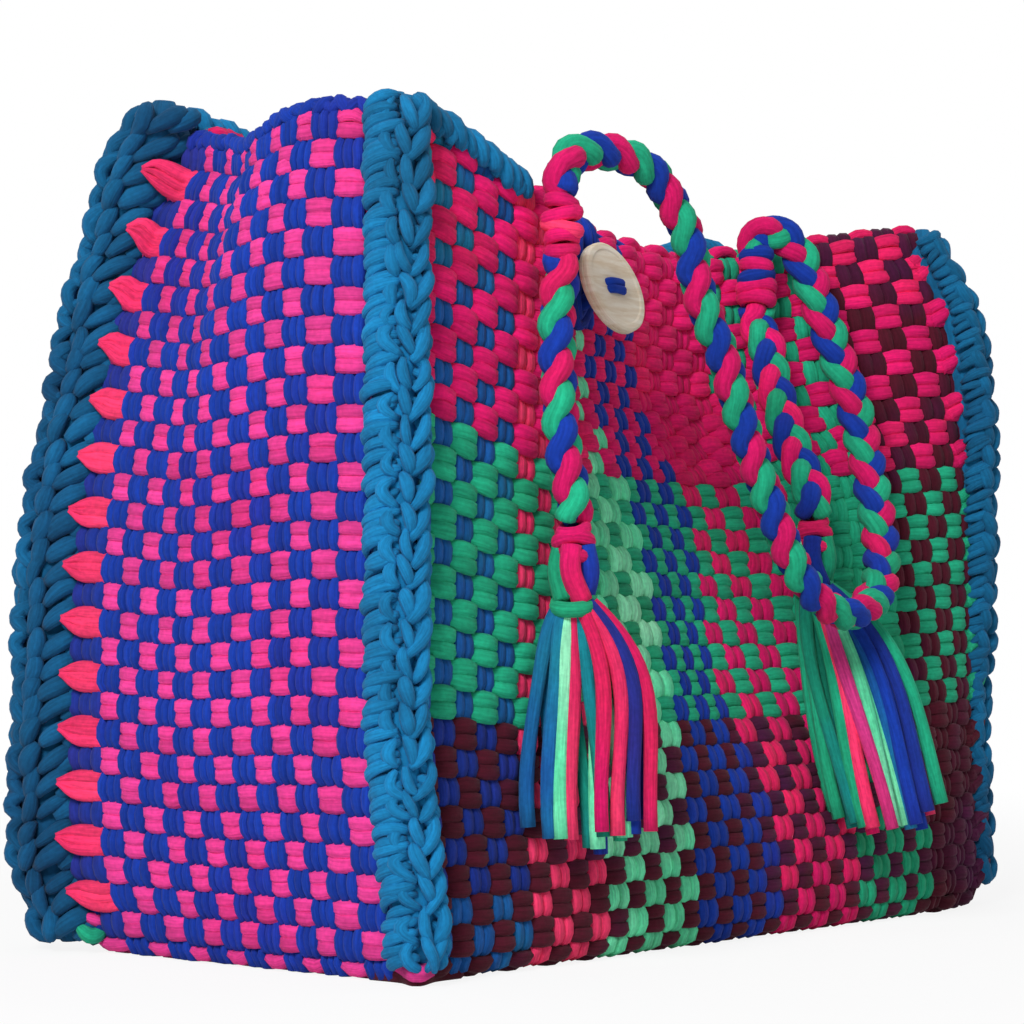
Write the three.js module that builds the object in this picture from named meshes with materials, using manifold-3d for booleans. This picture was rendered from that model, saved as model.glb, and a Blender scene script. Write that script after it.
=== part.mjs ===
// Tote bag woven from thick jersey yarn, with a rope handle, two tasselled tails and a wooden button.
// Millimetres. X runs along the front, Y from front to back, Z up.
import * as THREE from 'three';
import Module from 'manifold-3d';
import { mergeVertices } from 'three/addons/utils/BufferGeometryUtils.js';

// Woven cloth
const clothThickness = 9;
const rowGroove = 2.2;
const rowPitch = 11.35;
const wallRows = 27;
const columnPitch = 12.2;
const frontColumns = 34;
const gussetPitch = 11.3;
const gussetColumns = 16;
const baseThickness = 9;
const baseEdgeRadius = 3;
const baseOverhang = 3.5;
const seamClearance = 0.3;
const innerSetback = 1.6;

// Crochet edgings and rims
const edgingRadius = 11;
const edgingDip = 2.2;
const rimRadius = 6.5;
const rimDip = 1.4;
const stitchPitch = 12.8;

// Where the bag stands and how its soft walls hang
const frontLeftX = -212;
const frontLineY = -89;
const leftTuck = 12;
const leftTuckHeight = 0.3;
const rightTuck = 12;
const rightTuckHeight = 0.7;
const rearTuck = 7;
const rearTuckHeight = 0.1;
const frontSkew = 14;
const frontSkewHeight = 0.6;
const backInset = 7;
const backNarrowing = 22;
const backNarrowingStart = 0.4;
const backRightInset = 14;
const backLean = 13;
const backCrestLean = 45;
const backCrestStart = 0.72;
const gussetBulge = 5;
const gussetCrease = 0.55;
const creaseSharpness = 1.5;

// The front is drawn in at the middle: a fold on the left, a slope, and a valley that turns back.
// The numbers without a unit are shares of the wall's width or height.
const caveDepth = 66;
const caveFoot = 0.05;
const caveHead = 0.87;
const foldStart = 0.17;
const foldEnd = 0.37;
const foldShare = 0.45;
const slopeStart = 0.23;
const slopeEnd = 0.64;
const valleyEnd = 0.6;
const valleyDrift = 0.1;
const valleyRun = 0.35;
const cornerTurn = 16;
const cornerTurnStart = 0.82;
const cornerTurnLow = 0.2;
const cornerTurnHigh = 0.62;
const backCaveDepth = 48;
const backCaveFoot = 0.3;

// Height of each wall corner above the height of the woven rows
const frontRightRise = -6;
const backLeftRise = 14;
const backRightRise = -4;
const leftRimRise = 5;
const gussetDip = 4;
const backSag = 44;
const rimSag = 24;
const rimSagRun = 0.22;
const rimRecoveryStart = 0.62;
const rimRecovery = 0.9;

// Wooden button, its yarn and the closure loop
const buttonRadius = 20;
const buttonThickness = 5;
const buttonBevel = 1.6;
const buttonDish = 1;
const buttonLip = 4.8;
const buttonLipSlope = 1.6;
const buttonStandoff = 17;
const buttonColumn = 12.3;
const buttonHeight = 266;
const buttonFacing = new THREE.Vector3(0.07, -0.94, 0.33).normalize();
const slotLength = 11;
const slotWidth = 6;
const yarnClearance = 0.4;
const yarnHeadHeight = 2.4;
const loopRadius = 3;
const loopHalfWidth = 11.5;
const loopClearance = 0.8;
const shankSeat = 5.8;

// Handle knots, rope, tails and tassels
const ropeRadius = 8.5;
const ropeLead = 8;
const knotRadius = 12;
const knotHeight = 24;
const knotWraps = 3;
const tailKnotWraps = 2;
const wrapWaist = 0.9;
const wrapEnd = 0.8;
const knotSeat = 6.1;
const leftKnotColumn = 5.3;
const leftKnotHeight = 288;
const rightKnotColumn = 25.6;
const rightKnotHeight = 291;
const tailKnotRadius = 10.5;
const tailKnotHeight = 24;
const tasselWrapRadius = 10;
const tasselWrapHeight = 15;
const tasselNeckRadius = 9;
const tasselHalfWidth = 23;
const tasselHalfDepth = 10;
const tasselStrands = 10;
const tasselFlute = 2;
// Share of the drop, and share of the spread there
const tasselLevels = [[0, 0], [0.18, 0.45], [0.55, 0.8], [1, 1]];

// Rope routes between the knots
const handleRoute = [
  [-134, -107, 311], [-125, -106, 317], [-108, -106, 320], [-90, -107, 319], [-76, -108, 314],
  [-66, -110, 303], [-58, -112, 289], [-53, -112, 273], [-47, -113, 259], [-38, -114, 245],
  [-30, -115, 227], [-19, -116, 204], [-7, -118, 181], [4, -120, 161], [17, -121, 148],
  [32, -120, 141], [49, -119, 138], [70, -115, 141], [91, -109, 151], [104, -102, 166],
  [110, -96, 182], [115, -89, 201], [119, -82, 220], [119, -77, 237], [117, -71, 255],
  [113, -67, 271], [111, -63, 284], [110, -59, 295], [107, -55, 306], [102, -51, 312],
  [95, -48, 314],
];
const leftTailRoute = [
  [-137, -106, 257], [-137, -106, 237], [-137, -107, 218], [-135, -108, 198], [-132, -110, 182],
];
const rightTailRoute = [
  [86, -52, 262], [82, -58, 246], [79, -65, 230], [75, -75, 210], [70, -88, 190],
];
const leftTasselFall = new THREE.Vector3(4, -4, -88);
const rightTasselFall = new THREE.Vector3(10, -32, -100);

// How finely curves are divided
const cordSides = 8;
const stitchSides = 6;
const roundSegments = 12;
const buttonSegments = 24;
const routeStep = 2.4 * ropeRadius;
const loopSteps = 26;
const loopSides = 6;
const innerRowsPerStep = 3;
const arcSteps = 48;
const frontSections = 12;
const backSections = 7;
const gussetSections = 6;
const baseCornerSegments = 6;
const baseFrontSegments = 6;
const slotSegments = 6;
const weldDistance = 1e-4;
const slopeStep = 0.004;
const seamReach = 0.3;
const seamBisections = 20;

// Sizes that follow from those above
const halfCloth = clothThickness / 2;
const seamOffset = edgingRadius + seamClearance;
const frontWidth = frontColumns * columnPitch + 2 * seamOffset;
const gussetWidth = gussetColumns * gussetPitch + 2 * seamOffset;
const backLineY = frontLineY + gussetWidth;
const wallFoot = baseThickness + seamClearance;
const wallHeight = wallRows * rowPitch;

const { clamp, lerp, smoothstep } = THREE.MathUtils;
const wasm = await Module();
wasm.setup();

const yarn = {
  plaid: ['#c92a66', 0.95, 0], check: ['#2a49b5', 0.95, 0], teal: ['#1577ad', 0.95, 0],
  royal: ['#1243b0', 0.95, 0], pink: ['#e0307a', 0.95, 0], green: ['#1fa37c', 0.95, 0],
  maroon: ['#5a0f26', 0.95, 0], wood: ['#d9c3a5', 0.6, 0],
};
const bag = new THREE.Group();
bag.name = 'tote_bag';

function welded(geometry) {
  geometry.deleteAttribute('normal');
  geometry.deleteAttribute('uv');
  const merged = mergeVertices(geometry, weldDistance);
  const index = merged.getIndex().array;
  const kept = [];
  for (let i = 0; i < index.length; i += 3) {
    const [a, b, c] = [index[i], index[i + 1], index[i + 2]];
    if (a !== b && b !== c && c !== a) kept.push(a, b, c);
  }
  merged.setIndex(kept);
  return merged;
}

// Turn every face outward: a closed body has a positive volume
function outward(geometry) {
  const at = geometry.getAttribute('position');
  const index = Array.from(geometry.getIndex().array);
  const [p, q, r] = [new THREE.Vector3(), new THREE.Vector3(), new THREE.Vector3()];
  let volume = 0;
  for (let i = 0; i < index.length; i += 3) {
    p.fromBufferAttribute(at, index[i]);
    q.fromBufferAttribute(at, index[i + 1]);
    r.fromBufferAttribute(at, index[i + 2]);
    volume += p.dot(q.cross(r));
  }
  if (volume < 0) index.reverse();
  geometry.setIndex(index);
  return geometry;
}

function addPiece(name, geometry, [color, roughness, metalness]) {
  const solid = outward(geometry);
  solid.computeVertexNormals();
  const mesh = new THREE.Mesh(solid, new THREE.MeshStandardMaterial({ color, roughness, metalness }));
  mesh.name = name;
  bag.add(mesh);
  return mesh;
}

function surface(points, faces) {
  const geometry = new THREE.BufferGeometry();
  geometry.setAttribute('position', new THREE.Float32BufferAttribute(points.flatMap((p) => p.toArray()), 3));
  geometry.setIndex(faces);
  return geometry;
}

// Plan lines of the walls: t or w runs along a wall, v is the share of its height
function tuckAt(v, tuck, height) {
  return tuck * (1 - smoothstep(v, 0, height));
}

function caveAt(t, v) {
  const turnStart = valleyEnd + valleyDrift * v * v;
  const fold = smoothstep(t, foldStart, foldEnd);
  const slope = smoothstep(t, slopeStart, slopeEnd);
  const turnBack = 1 - smoothstep(t, turnStart, turnStart + valleyRun);
  const drawn = foldShare * fold + (1 - foldShare) * slope;
  return caveDepth * smoothstep(v, caveFoot, caveHead) * drawn * turnBack;
}

function cornerTurnAt(t, v) {
  const along = clamp((t - cornerTurnStart) / (1 - cornerTurnStart), 0, 1);
  return cornerTurn * (1 - smoothstep(v, cornerTurnLow, cornerTurnHigh)) * along * along;
}

function frontY(t, v) {
  const skew = frontSkew * t * (1 - smoothstep(v, 0, frontSkewHeight));
  return frontLineY + caveAt(t, v) + cornerTurnAt(t, v) - skew;
}

// The cloth keeps its width, so a deep cave draws the right-hand edge in
function frontPoint(t, v) {
  const tuck = tuckAt(v, leftTuck, leftTuckHeight);
  const width = frontWidth - tuck - tuckAt(v, rightTuck, rightTuckHeight);
  const step = (width * t) / arcSteps;
  let x = frontLeftX + tuck;
  for (let k = 1; k <= arcSteps; k += 1) {
    const rise = frontY((t * k) / arcSteps, v) - frontY((t * (k - 1)) / arcSteps, v);
    x += Math.sqrt(Math.max(step * step - rise * rise, 0));
  }
  return new THREE.Vector2(x, frontY(t, v));
}

function backLineAt(v) {
  const crest = clamp((v - backCrestStart) / (1 - backCrestStart), 0, 1);
  return backLineY - tuckAt(v, rearTuck, rearTuckHeight) - backLean * v - backCrestLean * crest * crest;
}

function backLeft(v) {
  const narrowing = backNarrowing * smoothstep(v, backNarrowingStart, 1);
  const x = frontLeftX + backInset + tuckAt(v, rearTuck, rearTuckHeight) + narrowing;
  return new THREE.Vector2(x, backLineAt(v));
}

function backRight(v) {
  const x = frontLeftX + frontWidth - backRightInset - tuckAt(v, rightTuck, rightTuckHeight);
  return new THREE.Vector2(x, backLineAt(v));
}

function rightPoint(w, v) {
  const point = frontPoint(1, v).lerp(backRight(v), w);
  point.x += gussetBulge * Math.sin(Math.PI * w) * Math.sin(Math.PI * v);
  return point;
}

function backPoint(t, v) {
  const point = backRight(v).lerp(backLeft(v), t);
  point.y -= backCaveDepth * smoothstep(v, backCaveFoot, 1) * Math.sin(Math.PI * t) ** 2;
  return point;
}

function leftPoint(w, v) {
  const [rear, front] = [backLeft(v), frontPoint(0, v)];
  const share = clamp(w / gussetCrease, 0, 1) ** creaseSharpness;
  const bulge = gussetBulge * Math.sin(Math.PI * w) * Math.sin(Math.PI * v);
  return new THREE.Vector2(lerp(rear.x, front.x, share) - bulge, lerp(rear.y, front.y, w));
}

function frontTop(t) {
  const recovery = rimRecovery * smoothstep(t, rimRecoveryStart, 1);
  const sag = rimSag * smoothstep(t, 0, rimSagRun) * (1 - recovery);
  return lerp(0, frontRightRise, t) - sag;
}

function rightTop(w) {
  return lerp(frontRightRise, backRightRise, w) - gussetDip * Math.sin(Math.PI * w) ** 2;
}

function backTop(t) {
  return lerp(backRightRise, backLeftRise, t) - backSag * Math.sin(Math.PI * t) ** 2;
}

function leftTop(w) {
  return lerp(leftRimRise, 0, w) - gussetDip * Math.sin(Math.PI * w) ** 2;
}

const walls = {
  front: { point: frontPoint, top: frontTop, sections: Math.round(frontSections) },
  right: { point: rightPoint, top: rightTop, sections: Math.round(gussetSections) },
  back: { point: backPoint, top: backTop, sections: Math.round(backSections) },
  left: { point: leftPoint, top: leftTop, sections: Math.round(gussetSections) },
};

// A point on a wall, moved out level from the middle of the cloth
function wallPoint(wall, t, v, out) {
  const ahead = wall.point(Math.min(t + slopeStep, 1), v);
  const along = ahead.sub(wall.point(Math.max(t - slopeStep, 0), v)).normalize();
  const plan = wall.point(t, v);
  const z = wallFoot + v * (wallHeight + wall.top(t));
  return new THREE.Vector3(plan.x + along.y * out, plan.y - along.x * out, z);
}

// The share of a wall's length within a given distance of the corner at one end
function endShare(wall, v, end, distance) {
  const corner = wall.point(end, v);
  let [near, far] = [0, seamReach];
  for (let k = 0; k < seamBisections; k += 1) {
    const middle = (near + far) / 2;
    if (wall.point(Math.abs(end - middle), v).distanceTo(corner) < distance) near = middle;
    else far = middle;
  }
  return far;
}

function sectionAt(wall, i, v, distance) {
  const [first, last] = [endShare(wall, v, 0, distance), 1 - endShare(wall, v, 1, distance)];
  return lerp(first, last, i / wall.sections);
}

// Join two chains of points of different counts along a wall's end
function zipped(outerChain, innerChain) {
  const faces = [];
  let [i, j] = [0, 0];
  while (i < outerChain.length - 1 || j < innerChain.length - 1) {
    const outerNext = (i + 1) / (outerChain.length - 1);
    const innerNext = (j + 1) / (innerChain.length - 1);
    if (j === innerChain.length - 1 || (i < outerChain.length - 1 && outerNext <= innerNext)) {
      faces.push(outerChain[i], outerChain[i + 1], innerChain[j]);
      i += 1;
    } else {
      faces.push(outerChain[i], innerChain[j + 1], innerChain[j]);
      j += 1;
    }
  }
  return faces;
}

function gridFaces(first, across, up) {
  const faces = [];
  for (let k = 0; k < up; k += 1) {
    for (let i = 0; i < across; i += 1) {
      const a = first + k * (across + 1) + i;
      const b = a + across + 1;
      faces.push(a, a + 1, b + 1, a, b + 1, b);
    }
  }
  return faces;
}

// A woven wall: each row of yarn is a ridge outside, the inside is plain
function wovenWall(wall) {
  const outerSteps = 2 * Math.round(wallRows);
  const innerSteps = Math.round(wallRows / innerRowsPerStep);
  const across = wall.sections;
  const points = [];
  for (let k = 0; k <= outerSteps; k += 1) {
    const out = k % 2 ? halfCloth : halfCloth - rowGroove;
    for (let i = 0; i <= across; i += 1) {
      const t = sectionAt(wall, i, k / outerSteps, seamOffset);
      points.push(wallPoint(wall, t, k / outerSteps, out));
    }
  }
  const innerFirst = points.length;
  for (let k = 0; k <= innerSteps; k += 1) {
    for (let i = 0; i <= across; i += 1) {
      const t = sectionAt(wall, i, k / innerSteps, seamOffset + innerSetback);
      points.push(wallPoint(wall, t, k / innerSteps, rowGroove - halfCloth));
    }
  }
  const outerAt = (i, k) => k * (across + 1) + i;
  const innerAt = (i, k) => innerFirst + k * (across + 1) + i;
  const faces = gridFaces(0, across, outerSteps);
  faces.push(...gridFaces(innerFirst, across, innerSteps).reverse());
  for (let i = 0; i < across; i += 1) {
    const [a, b, c, d] = [outerAt(i, 0), outerAt(i + 1, 0), innerAt(i + 1, 0), innerAt(i, 0)];
    faces.push(a, d, c, a, c, b);
    const [e, f] = [outerAt(i, outerSteps), outerAt(i + 1, outerSteps)];
    const [g, h] = [innerAt(i + 1, innerSteps), innerAt(i, innerSteps)];
    faces.push(e, f, g, e, g, h);
  }
  const chain = (at, i, steps) => Array.from({ length: steps + 1 }, (_, k) => at(i, k));
  faces.push(...zipped(chain(outerAt, 0, outerSteps), chain(innerAt, 0, innerSteps)));
  faces.push(...zipped(chain(outerAt, across, outerSteps), chain(innerAt, across, innerSteps)).reverse());
  return surface(points, faces);
}

// A solid through a row of rings that have the same number of points
function lofted(rings) {
  const sides = rings[0].length;
  const points = rings.flat();
  const faces = [];
  for (let k = 0; k < rings.length - 1; k += 1) {
    for (let j = 0; j < sides; j += 1) {
      const [a, b] = [k * sides + j, k * sides + ((j + 1) % sides)];
      faces.push(a, b, b + sides, a, b + sides, a + sides);
    }
  }
  const last = points.length - sides;
  for (let j = 1; j < sides - 1; j += 1) {
    faces.push(0, j + 1, j, last, last + j, last + j + 1);
  }
  return surface(points, faces);
}

function ring(centre, across, up, sides) {
  return Array.from({ length: sides }, (_, j) => {
    const angle = (2 * Math.PI * j) / sides;
    return centre.clone().addScaledVector(across, Math.cos(angle)).addScaledVector(up, Math.sin(angle));
  });
}

// A crochet band up a corner: one bead for each stitch
function cornerEdging(corner, rise) {
  const height = wallHeight + rise;
  const fullHeight = height + seamClearance + 2 * rimRadius;
  const steps = 2 * Math.round(fullHeight / stitchPitch);
  const rings = [];
  for (let k = 0; k <= steps; k += 1) {
    const z = (fullHeight * k) / steps;
    const plan = corner(Math.min(z / height, 1));
    const radius = k % 2 ? edgingRadius : edgingRadius - edgingDip;
    const centre = new THREE.Vector3(plan.x, plan.y, wallFoot + z);
    rings.push(ring(centre, new THREE.Vector3(radius, 0, 0), new THREE.Vector3(0, radius, 0), stitchSides));
  }
  return lofted(rings);
}

// The middle line of a rim: it sits on the wall's top edge
function rimLine(wall) {
  const lift = new THREE.Vector3(0, 0, seamClearance + rimRadius);
  return Array.from({ length: wall.sections + 1 }, (_, i) => {
    const t = sectionAt(wall, i, 1, seamOffset);
    const out = wallPoint(wall, t, 1, 1).sub(wallPoint(wall, t, 1, 0));
    return { centre: wallPoint(wall, t, 1, 0).add(lift), out };
  });
}

function rimEdging(wall) {
  const line = rimLine(wall);
  const ends = line[0].centre.distanceTo(line[wall.sections].centre);
  const steps = 2 * Math.round(ends / stitchPitch);
  const rings = [];
  for (let k = 0; k <= steps; k += 1) {
    const place = (wall.sections * k) / steps;
    const i = Math.min(Math.floor(place), wall.sections - 1);
    const centre = line[i].centre.clone().lerp(line[i + 1].centre, place - i);
    const out = line[i].out.clone().lerp(line[i + 1].out, place - i).normalize();
    const radius = k % 2 ? rimRadius : rimRadius - rimDip;
    rings.push(ring(centre, new THREE.Vector3(0, 0, -radius), out.multiplyScalar(radius), stitchSides));
  }
  return lofted(rings);
}

// The base: a slab with rounded corners and edges, flat underneath
function baseSlab() {
  const corners = [frontPoint(0, 0), frontPoint(1, 0), backRight(0), backLeft(0)];
  const radius = halfCloth + baseOverhang - baseEdgeRadius;
  const outline = new THREE.Shape();
  corners.forEach((corner, i) => {
    const start = Math.PI + (i * Math.PI) / 2;
    for (let k = 0; k <= baseCornerSegments; k += 1) {
      const angle = start + (k * Math.PI) / (2 * baseCornerSegments);
      const [x, y] = [corner.x + radius * Math.cos(angle), corner.y + radius * Math.sin(angle)];
      if (i + k === 0) outline.moveTo(x, y);
      else outline.lineTo(x, y);
    }
    if (i > 0) return;
    for (let k = 1; k < baseFrontSegments; k += 1) {
      const point = frontPoint(k / baseFrontSegments, 0);
      outline.lineTo(point.x, point.y - radius);
    }
  });
  const slab = new THREE.ExtrudeGeometry(outline, {
    depth: baseThickness - 2 * baseEdgeRadius,
    bevelThickness: baseEdgeRadius,
    bevelSize: baseEdgeRadius,
    bevelSegments: 2,
  });
  slab.translate(0, 0, baseEdgeRadius);
  return welded(slab);
}

function disc(radius, sides) {
  const circle = ring(new THREE.Vector3(), new THREE.Vector3(radius, 0, 0), new THREE.Vector3(0, radius, 0), sides);
  return new THREE.Shape(circle.map((p) => new THREE.Vector2(p.x, p.y)));
}

function tube(points, radius, sides, steps) {
  const path = new THREE.CatmullRomCurve3(points);
  return welded(new THREE.ExtrudeGeometry(disc(radius, sides), { steps, extrudePath: path }));
}

function ropeTube(points) {
  const length = new THREE.CatmullRomCurve3(points).getLength();
  return tube(points, ropeRadius, cordSides, Math.round(length / routeStep));
}

// Yarn wound round a rope: a barrel with one bulge for each turn
function woundBarrel(radius, height, wraps) {
  const profile = [new THREE.Vector2(0, 0), new THREE.Vector2(wrapEnd * radius, 0)];
  for (let k = 0; k < wraps; k += 1) {
    profile.push(new THREE.Vector2(radius, (height * (k + 0.5)) / wraps));
    if (k < wraps - 1) profile.push(new THREE.Vector2(wrapWaist * radius, (height * (k + 1)) / wraps));
  }
  profile.push(new THREE.Vector2(wrapEnd * radius, height), new THREE.Vector2(0, height));
  return welded(new THREE.LatheGeometry(profile, roundSegments).rotateX(Math.PI / 2));
}

function toManifold(geometry) {
  const vertProperties = new Float32Array(geometry.getAttribute('position').array);
  const triVerts = new Uint32Array(geometry.getIndex().array);
  return new wasm.Manifold(new wasm.Mesh({ numProp: 3, vertProperties, triVerts }));
}

function fromManifold(body) {
  const { vertProperties, triVerts } = body.getMesh();
  const geometry = new THREE.BufferGeometry();
  geometry.setAttribute('position', new THREE.Float32BufferAttribute(vertProperties, 3));
  geometry.setIndex(Array.from(triVerts));
  return geometry;
}

function slotShape(length, width) {
  const reach = (length - width) / 2;
  const shape = new THREE.Shape();
  shape.absarc(reach, 0, width / 2, -Math.PI / 2, Math.PI / 2);
  shape.absarc(-reach, 0, width / 2, Math.PI / 2, (3 * Math.PI) / 2);
  return shape;
}

function slotBar(length, width, height) {
  return outward(welded(new THREE.ExtrudeGeometry(slotShape(length, width), {
    depth: height,
    bevelEnabled: false,
    curveSegments: slotSegments,
  })));
}

// Carry a piece made along +Z to a place, facing a given way
function placed(geometry, facing, position) {
  const turn = new THREE.Quaternion().setFromUnitVectors(new THREE.Vector3(0, 0, 1), facing);
  return geometry.applyQuaternion(turn).translate(position.x, position.y, position.z);
}

// Button with a bevelled rim, a shallow dish and one long slot
function buttonDisc() {
  const [r, h] = [buttonRadius, buttonThickness];
  const profile = [
    [0, 0], [r - buttonBevel, 0], [r, buttonBevel], [r, h - buttonBevel], [r - buttonBevel, h],
    [r - buttonLip, h], [r - buttonLip - buttonLipSlope, h - buttonDish], [0, h - buttonDish],
  ].map(([x, y]) => new THREE.Vector2(x, y));
  const solid = outward(welded(new THREE.LatheGeometry(profile, buttonSegments).rotateX(Math.PI / 2)));
  const slot = slotBar(slotLength, slotWidth, 3 * h).translate(0, 0, -h);
  return fromManifold(toManifold(solid).subtract(toManifold(slot)));
}

// Yarn through the button's slot: a shank behind and a stitched head in front
function buttonShank() {
  const width = slotWidth - 2 * yarnClearance;
  const length = slotLength - 2 * yarnClearance;
  const shank = slotBar(length, width, buttonStandoff + buttonThickness + yarnClearance);
  const head = slotBar(length, slotWidth + 2 * yarnClearance, yarnHeadHeight);
  head.translate(0, 0, buttonStandoff + buttonThickness - buttonDish + yarnClearance);
  return fromManifold(toManifold(shank).add(toManifold(head)));
}

function columnShare(column) {
  return (seamOffset + column * columnPitch) / frontWidth;
}

function heightShare(t, height) {
  return (height - wallFoot) / (wallHeight + frontTop(t));
}

function onFront(column, height, out) {
  const t = columnShare(column);
  return wallPoint(walls.front, t, heightShare(t, height), out);
}

// One leg of the closure loop: from the back rim over the front rim to beside the button's shank
function loopLeg(side) {
  const column = buttonColumn + (side * loopHalfWidth) / columnPitch;
  const t = columnShare(column);
  const top = wallPoint(walls.front, t, 1, 0);
  const rimTop = top.z + seamClearance + 2 * rimRadius;
  const [right, left] = [backRight(1), backLeft(1)];
  const backShare = (right.x - top.x) / (right.x - left.x);
  const rear = wallPoint(walls.back, backShare, 1, 0);
  const away = halfCloth + loopRadius + loopClearance;
  const beyondRim = rimRadius + loopRadius + loopClearance;
  return [
    new THREE.Vector3(top.x, rear.y - rimRadius - seamClearance, rear.z + seamClearance + rimRadius),
    new THREE.Vector3(top.x, (rear.y + top.y) / 2, rimTop + loopRadius + 2 * loopClearance),
    new THREE.Vector3(top.x, top.y + loopRadius, rimTop + loopRadius + 2 * loopClearance),
    onFront(column, top.z, beyondRim).setZ(rimTop - loopRadius),
    onFront(column, top.z - 3 * loopRadius, away),
    onFront(column, buttonHeight, away),
  ];
}

function closureLoop() {
  const under = onFront(buttonColumn, buttonHeight - loopHalfWidth, halfCloth + loopRadius + loopClearance);
  return tube([...loopLeg(-1), under, ...loopLeg(1).reverse()], loopRadius, loopSides, loopSteps);
}

function tassel(top, fall) {
  const points = 2 * tasselStrands;
  const rings = tasselLevels.map(([drop, spread]) => {
    const centre = top.clone().addScaledVector(fall, drop);
    const halfWidth = lerp(tasselNeckRadius, tasselHalfWidth, spread);
    const halfDepth = lerp(tasselNeckRadius, tasselHalfDepth, spread);
    return Array.from({ length: points }, (_, j) => {
      const angle = (2 * Math.PI * j) / points;
      const flute = j % 2 ? tasselFlute * spread : 0;
      const [x, y] = [(halfWidth - flute) * Math.cos(angle), (halfDepth - flute) * Math.sin(angle)];
      return new THREE.Vector3(centre.x + x, centre.y + y, centre.z);
    });
  });
  return lofted(rings);
}

const toPoint = ([x, y, z]) => new THREE.Vector3(x, y, z);
const drop = (point, distance) => point.clone().setZ(point.z - distance);

// Woven panels, the base and the crochet that joins them
addPiece('front_panel', wovenWall(walls.front), yarn.plaid);
addPiece('back_panel', wovenWall(walls.back), yarn.plaid);
addPiece('left_gusset', wovenWall(walls.left), yarn.check);
addPiece('right_gusset', wovenWall(walls.right), yarn.check);
addPiece('base_panel', baseSlab(), yarn.maroon);
addPiece('front_left_edging', cornerEdging((v) => frontPoint(0, v), 0), yarn.teal);
addPiece('front_right_edging', cornerEdging((v) => frontPoint(1, v), frontRightRise), yarn.teal);
addPiece('back_right_edging', cornerEdging(backRight, backRightRise), yarn.teal);
addPiece('back_left_edging', cornerEdging(backLeft, backLeftRise), yarn.teal);
addPiece('front_rim', rimEdging(walls.front), yarn.pink);
addPiece('right_rim', rimEdging(walls.right), yarn.royal);
addPiece('back_rim', rimEdging(walls.back), yarn.teal);
addPiece('left_rim', rimEdging(walls.left), yarn.royal);

// Button and closure loop
const shankFoot = onFront(buttonColumn, buttonHeight, shankSeat);
const buttonBack = shankFoot.clone().addScaledVector(buttonFacing, buttonStandoff);
addPiece('button', placed(buttonDisc(), buttonFacing, buttonBack), yarn.wood);
addPiece('button_yarn', placed(buttonShank(), buttonFacing, shankFoot), yarn.royal);
addPiece('closure_loop', closureLoop(), yarn.royal);

// Handle knots with the rope between them, and a tail with a tassel below each
const knotOut = knotSeat + knotRadius;
const leftKnot = drop(onFront(leftKnotColumn, leftKnotHeight, knotOut), knotHeight / 2);
const rightKnot = drop(onFront(rightKnotColumn, rightKnotHeight, knotOut), knotHeight / 2);
const knotShape = woundBarrel(knotRadius, knotHeight, knotWraps);
addPiece('left_handle_knot', knotShape.clone().translate(...leftKnot.toArray()), yarn.pink);
addPiece('right_handle_knot', knotShape.clone().translate(...rightKnot.toArray()), yarn.pink);

// A rope leaves its knot straight before it bends
const overKnot = -knotHeight - seamClearance;
const leftStart = [drop(leftKnot, overKnot), drop(leftKnot, overKnot - ropeLead)];
const rightEnd = [drop(rightKnot, overKnot - ropeLead), drop(rightKnot, overKnot)];
addPiece('handle_rope', ropeTube([...leftStart, ...handleRoute.map(toPoint), ...rightEnd]), yarn.green);

function addTail(side, knot, route, fall) {
  const start = drop(knot, seamClearance);
  const bends = [drop(start, ropeLead), ...route.map(toPoint)];
  const end = drop(bends[bends.length - 1], ropeLead);
  const knotFoot = drop(end, tailKnotHeight + seamClearance);
  const wrapFoot = drop(knotFoot, tasselWrapHeight + seamClearance);
  const tailKnot = woundBarrel(tailKnotRadius, tailKnotHeight, tailKnotWraps).translate(...knotFoot.toArray());
  const tasselWrap = woundBarrel(tasselWrapRadius, tasselWrapHeight, tailKnotWraps).translate(...wrapFoot.toArray());
  addPiece(`${side}_tail_rope`, ropeTube([start, ...bends, end]), yarn.royal);
  addPiece(`${side}_tail_knot`, tailKnot, yarn.pink);
  addPiece(`${side}_tassel_wrap`, tasselWrap, yarn.green);
  addPiece(`${side}_tassel`, tassel(drop(wrapFoot, seamClearance), fall), yarn.teal);
}
addTail('left', leftKnot, leftTailRoute, leftTasselFall);
addTail('right', rightKnot, rightTailRoute, rightTasselFall);

// Stand the bag itself, without its ropes, on the middle of the frame
const ropeNames = /rope|tail|tassel/;
const bounds = new THREE.Box3();
bag.children.filter((mesh) => !ropeNames.test(mesh.name)).forEach((mesh) => bounds.expandByObject(mesh));
const middle = bounds.getCenter(new THREE.Vector3());
bag.children.forEach((mesh) => mesh.geometry.translate(-middle.x, -middle.y, 0));

export default bag;
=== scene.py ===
import math

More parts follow.
